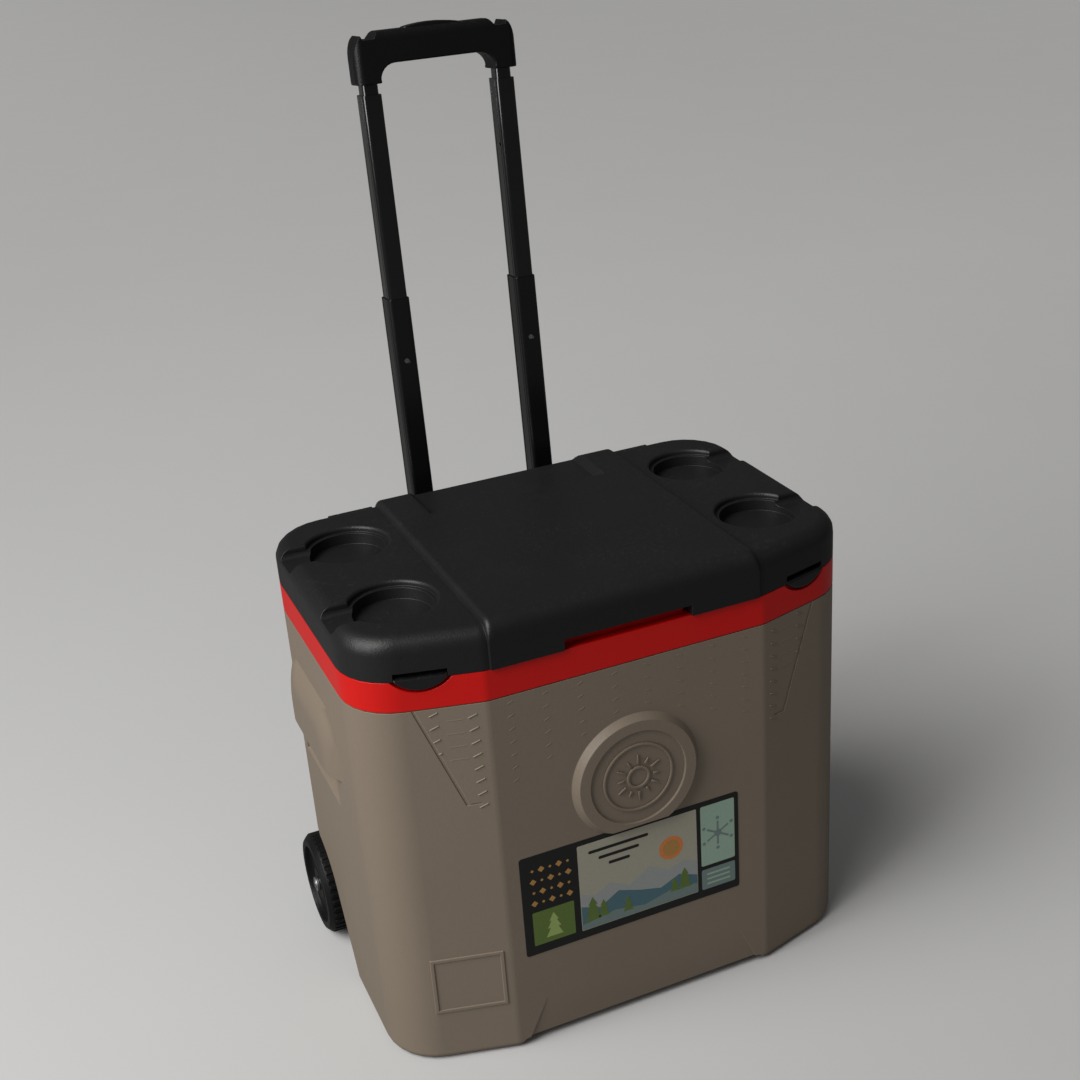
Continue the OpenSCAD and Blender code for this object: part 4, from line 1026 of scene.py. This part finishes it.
def screw(head_r, shank_r, head_h, length):
    """A screw along -Z with a domed head and a cross recess, its head's seat at the origin."""
    bm = turned([(0, head_h), (head_r * 0.45, head_h * 0.97), (head_r * 0.8, head_h * 0.8),
                 (head_r * 0.97, head_h * 0.45), (head_r, head_h * 0.1), (head_r * 0.98, 0), (shank_r, 0),
                 (shank_r, -length), (0, -length)], 24)
    wide, thin, deep = head_r * 0.5, head_r * 0.11, head_h * 0.45
    bm = cut(bm, box_mesh((-wide, -thin, deep), (wide, thin, head_h * 2)))
    return cut(bm, box_mesh((-thin, -wide, deep * 1.05), (thin, wide, head_h * 2)))


def link_screws(node, parts, body):
    """Links the screws as the piece that stands for a CAD node."""
    link(node + "_soft", joined(parts), [zinc_steel()], body, [node], weighted=False, smooth=40.0)


class COOLER_OT_wheels(CoolerOperator):
    """Dress the wheels, the axle, its washers and caps."""

    bl_idname = "cooler.wheels"
    bl_label = "Wheels and axle"

    def execute(self, context):
        for side in ("left", "right"):
            soft_copy("wheel_" + side, wheel_plastic(), side + "_wheel", sizes().edge, 2)
        paint_node("axle", bright_steel())
        soft_copy("axle_caps", zinc_steel(), "cooler", sizes().edge, 3)
        paint_node("axle_washers", zinc_steel())
        paint_node("axle_tube", glide_plastic())
        return {"FINISHED"}


class COOLER_OT_tubes(CoolerOperator):
    """Dress the handle's tubes, collars and brackets."""

    bl_idname = "cooler.tubes"
    bl_label = "Handle tubes and brackets"

    def execute(self, context):
        edge = sizes().edge
        for side in ("left", "right"):
            soft_copy("fixed_tube_" + side, tube_paint(), "cooler", edge * 0.3)
            soft_copy("middle_tube_" + side, tube_paint(), "middle_stage", edge * 0.3)
            soft_copy("top_tube_" + side, tube_paint("gloss_tube_paint", 0.14, 1.0), "top_stage",
                      edge * 0.3)
        soft_copy("fixed_tube_collars", fitting_plastic(), "cooler", edge * 1.4, 3)
        soft_copy("upper_bracket", fitting_plastic(), "cooler", edge * 2.4, 3)
        soft_copy("lower_bracket", fitting_plastic(), "cooler", edge * 2.4, 3)
        parts = []
        back = FIXED_TUBE_DEPTH / 2 + BRACKET_WALL
        for side in (-1, 1):
            for s in BRACKET_SCREWS_UP:
                place = handle_place(side * BRACKET_SCREW_OUT, back, s)
                parts.append(moved(screw(0.0045, 0.002, 0.0016, 0.02), place @ TO_BACK))
        link_screws("bracket_screws", parts, "cooler")
        return {"FINISHED"}


class COOLER_OT_grip(CoolerOperator):
    """Dress the grip's halves, its button and its screws."""

    bl_idname = "cooler.grip"
    bl_label = "Grip"

    def execute(self, context):
        size = sizes()
        back = handle_place().to_3x3() @ Vector((0, 1, 0))
        middle = handle_place() @ Vector((0, 0, 0))
        for half, sign in (("front", -1), ("back", 1)):
            bm = merged_copy("grip_" + half)
            reach = max(sign * (v.co - middle).dot(back) for v in bm.verts)
            on_face = lambda e: all(reach - sign * (v.co - middle).dot(back) < FACE_SLACK for v in e.verts)
            above = lambda e: min(v.co.z for v in e.verts) > middle.z
            large = lambda e: on_face(e) and above(e) and e.calc_length() > 0.0021
            round_edges(bm, size.grip_edge, 4, 30.0, large)
            round_edges(bm, size.edge * 0.7, 2, 40.0)
            link("grip_" + half + "_soft", bm, [grip_plastic()], "top_stage", ["grip_" + half])
        soft_copy("release_button", button_plastic(), "button", size.edge * 1.6, 3)
        parts = []
        for side in (-1, 1):
            place = handle_place(side * GRIP_SCREW_OUT, GRIP_SCREW_BACK, GRIP_SCREW_UP)
            parts.append(moved(screw(0.0026, 0.0013, 0.0016, 0.015), place @ TO_BACK))
        link_screws("grip_screws", parts, "top_stage")
        return {"FINISHED"}


class COOLER_OT_locks(CoolerOperator):
    """Make the slotted lock pins and the coil springs, and dress the glides and rods."""

    bl_idname = "cooler.locks"
    bl_label = "Lock parts"

    def pin(self):
        """A hollow lock pin with a slot across its face."""
        bm = turned([(0, PIN_LENGTH), (0.0022, PIN_LENGTH), (0.0025, 0.0057), (0.0025, 0), (0.0017, 0),
                     (0.0017, 0.0045), (0, 0.0045)], 40)
        return cut(bm, box_mesh((-0.004, -0.0004, 0.0053), (0.004, 0.0004, 0.01)))

    def coil(self, radius, wire, length, turns):
        """A coil spring along z, from 0 to its length."""
        bm = bmesh.new()
        bmesh.ops.create_circle(
            bm, segments=8, radius=wire, cap_ends=False,
            matrix=Matrix.Translation((radius, 0, wire)) @ TO_FRONT)
        steps = 18 * turns
        rise = (length - 2 * wire) / steps
        ring = list(bm.edges)
        bm.faces.new(list(bm.verts))
        made = bmesh.ops.spin(bm, geom=ring, cent=(0, 0, 0), axis=(0, 0, 1), dvec=(0, 0, rise),
                              angle=math.tau * turns, steps=steps, use_merge=False)
        last = [g for g in made["geom_last"] if isinstance(g, bmesh.types.BMEdge)]
        bmesh.ops.edgenet_fill(bm, edges=last)
        bmesh.ops.recalc_face_normals(bm, faces=bm.faces)
        return bm

    def execute(self, context):
        turns = sizes().coil_turns
        for level, stage, depth, s in LOCKS:
            pins = []
            for side in (-1, 1):
                front = -depth / 2 - PIN_PROUD
                place = handle_place(side * TUBE_OUT, front + PIN_LENGTH, s)
                pins.append(moved(self.pin(), place @ TO_FRONT))
            link(level + "_lock_pins_slotted", joined(pins), [bright_steel()], level + "_pins",
                 [level + "_lock_pins"], weighted=False, smooth=40.0)
        for level, stage, depth, s in LOCKS:
            coils = []
            for side in (-1, 1):
                front = -depth / 2 - PIN_PROUD + COIL_START
                length = depth / 2 - COIL_END_GAP - front
                place = handle_place(side * TUBE_OUT, front + length, s)
                coils.append(moved(self.coil(0.0013, 0.00025, length, turns), place @ TO_FRONT))
            link(level + "_pin_springs_coiled", joined(coils), [bright_steel()], stage,
                 [level + "_pin_springs"], weighted=False, smooth=60.0)
        spring = moved(self.coil(0.0034, 0.0004, 0.0039, 4), handle_place(0, 0, BUTTON_SPRING_UP))
        link("button_spring_coiled", spring, [bright_steel()], "top_stage", ["button_spring"],
             weighted=False, smooth=60.0)
        for node in ("middle_glides", "top_glides"):
            paint_node(node, glide_plastic())
        paint_node("push_rods", bright_steel())
        return {"FINISHED"}


class COOLER_PT_panel(bpy.types.Panel):
    """Lists the operators that dress the cooler."""

    bl_label = "Wheeled Cooler"
    bl_space_type = "VIEW_3D"
    bl_region_type = "UI"
    bl_category = "Cooler"

    def draw(self, context):
        for operator in OPERATORS:
            self.layout.operator(operator.bl_idname)
        for group in (context.scene.cooler_sizes, context.scene.cooler_colours):
            column = self.layout.column()
            for name in group.__annotations__:
                column.prop(group, name)


OPERATORS = (
    COOLER_OT_stage, COOLER_OT_shell, COOLER_OT_strokes, COOLER_OT_medallion, COOLER_OT_rim,
    COOLER_OT_label, COOLER_OT_lid, COOLER_OT_tabs, COOLER_OT_inside, COOLER_OT_hinges,
    COOLER_OT_wheels, COOLER_OT_tubes, COOLER_OT_grip, COOLER_OT_locks)
CLASSES = (CoolerSizes, CoolerColours, *OPERATORS, COOLER_PT_panel)


def register():
    for item in CLASSES:
        bpy.utils.register_class(item)
    bpy.types.Scene.cooler_sizes = PointerProperty(type=CoolerSizes)
    bpy.types.Scene.cooler_colours = PointerProperty(type=CoolerColours)


def unregister():
    del bpy.types.Scene.cooler_colours
    del bpy.types.Scene.cooler_sizes
    for item in reversed(CLASSES):
        bpy.utils.unregister_class(item)


def main():
    register()
    for operator in OPERATORS:
        name = operator.bl_idname.split(".")[1]
        getattr(bpy.ops.cooler, name)()
    bpy.context.view_layer.update()


if __name__ == "__main__":
    main()
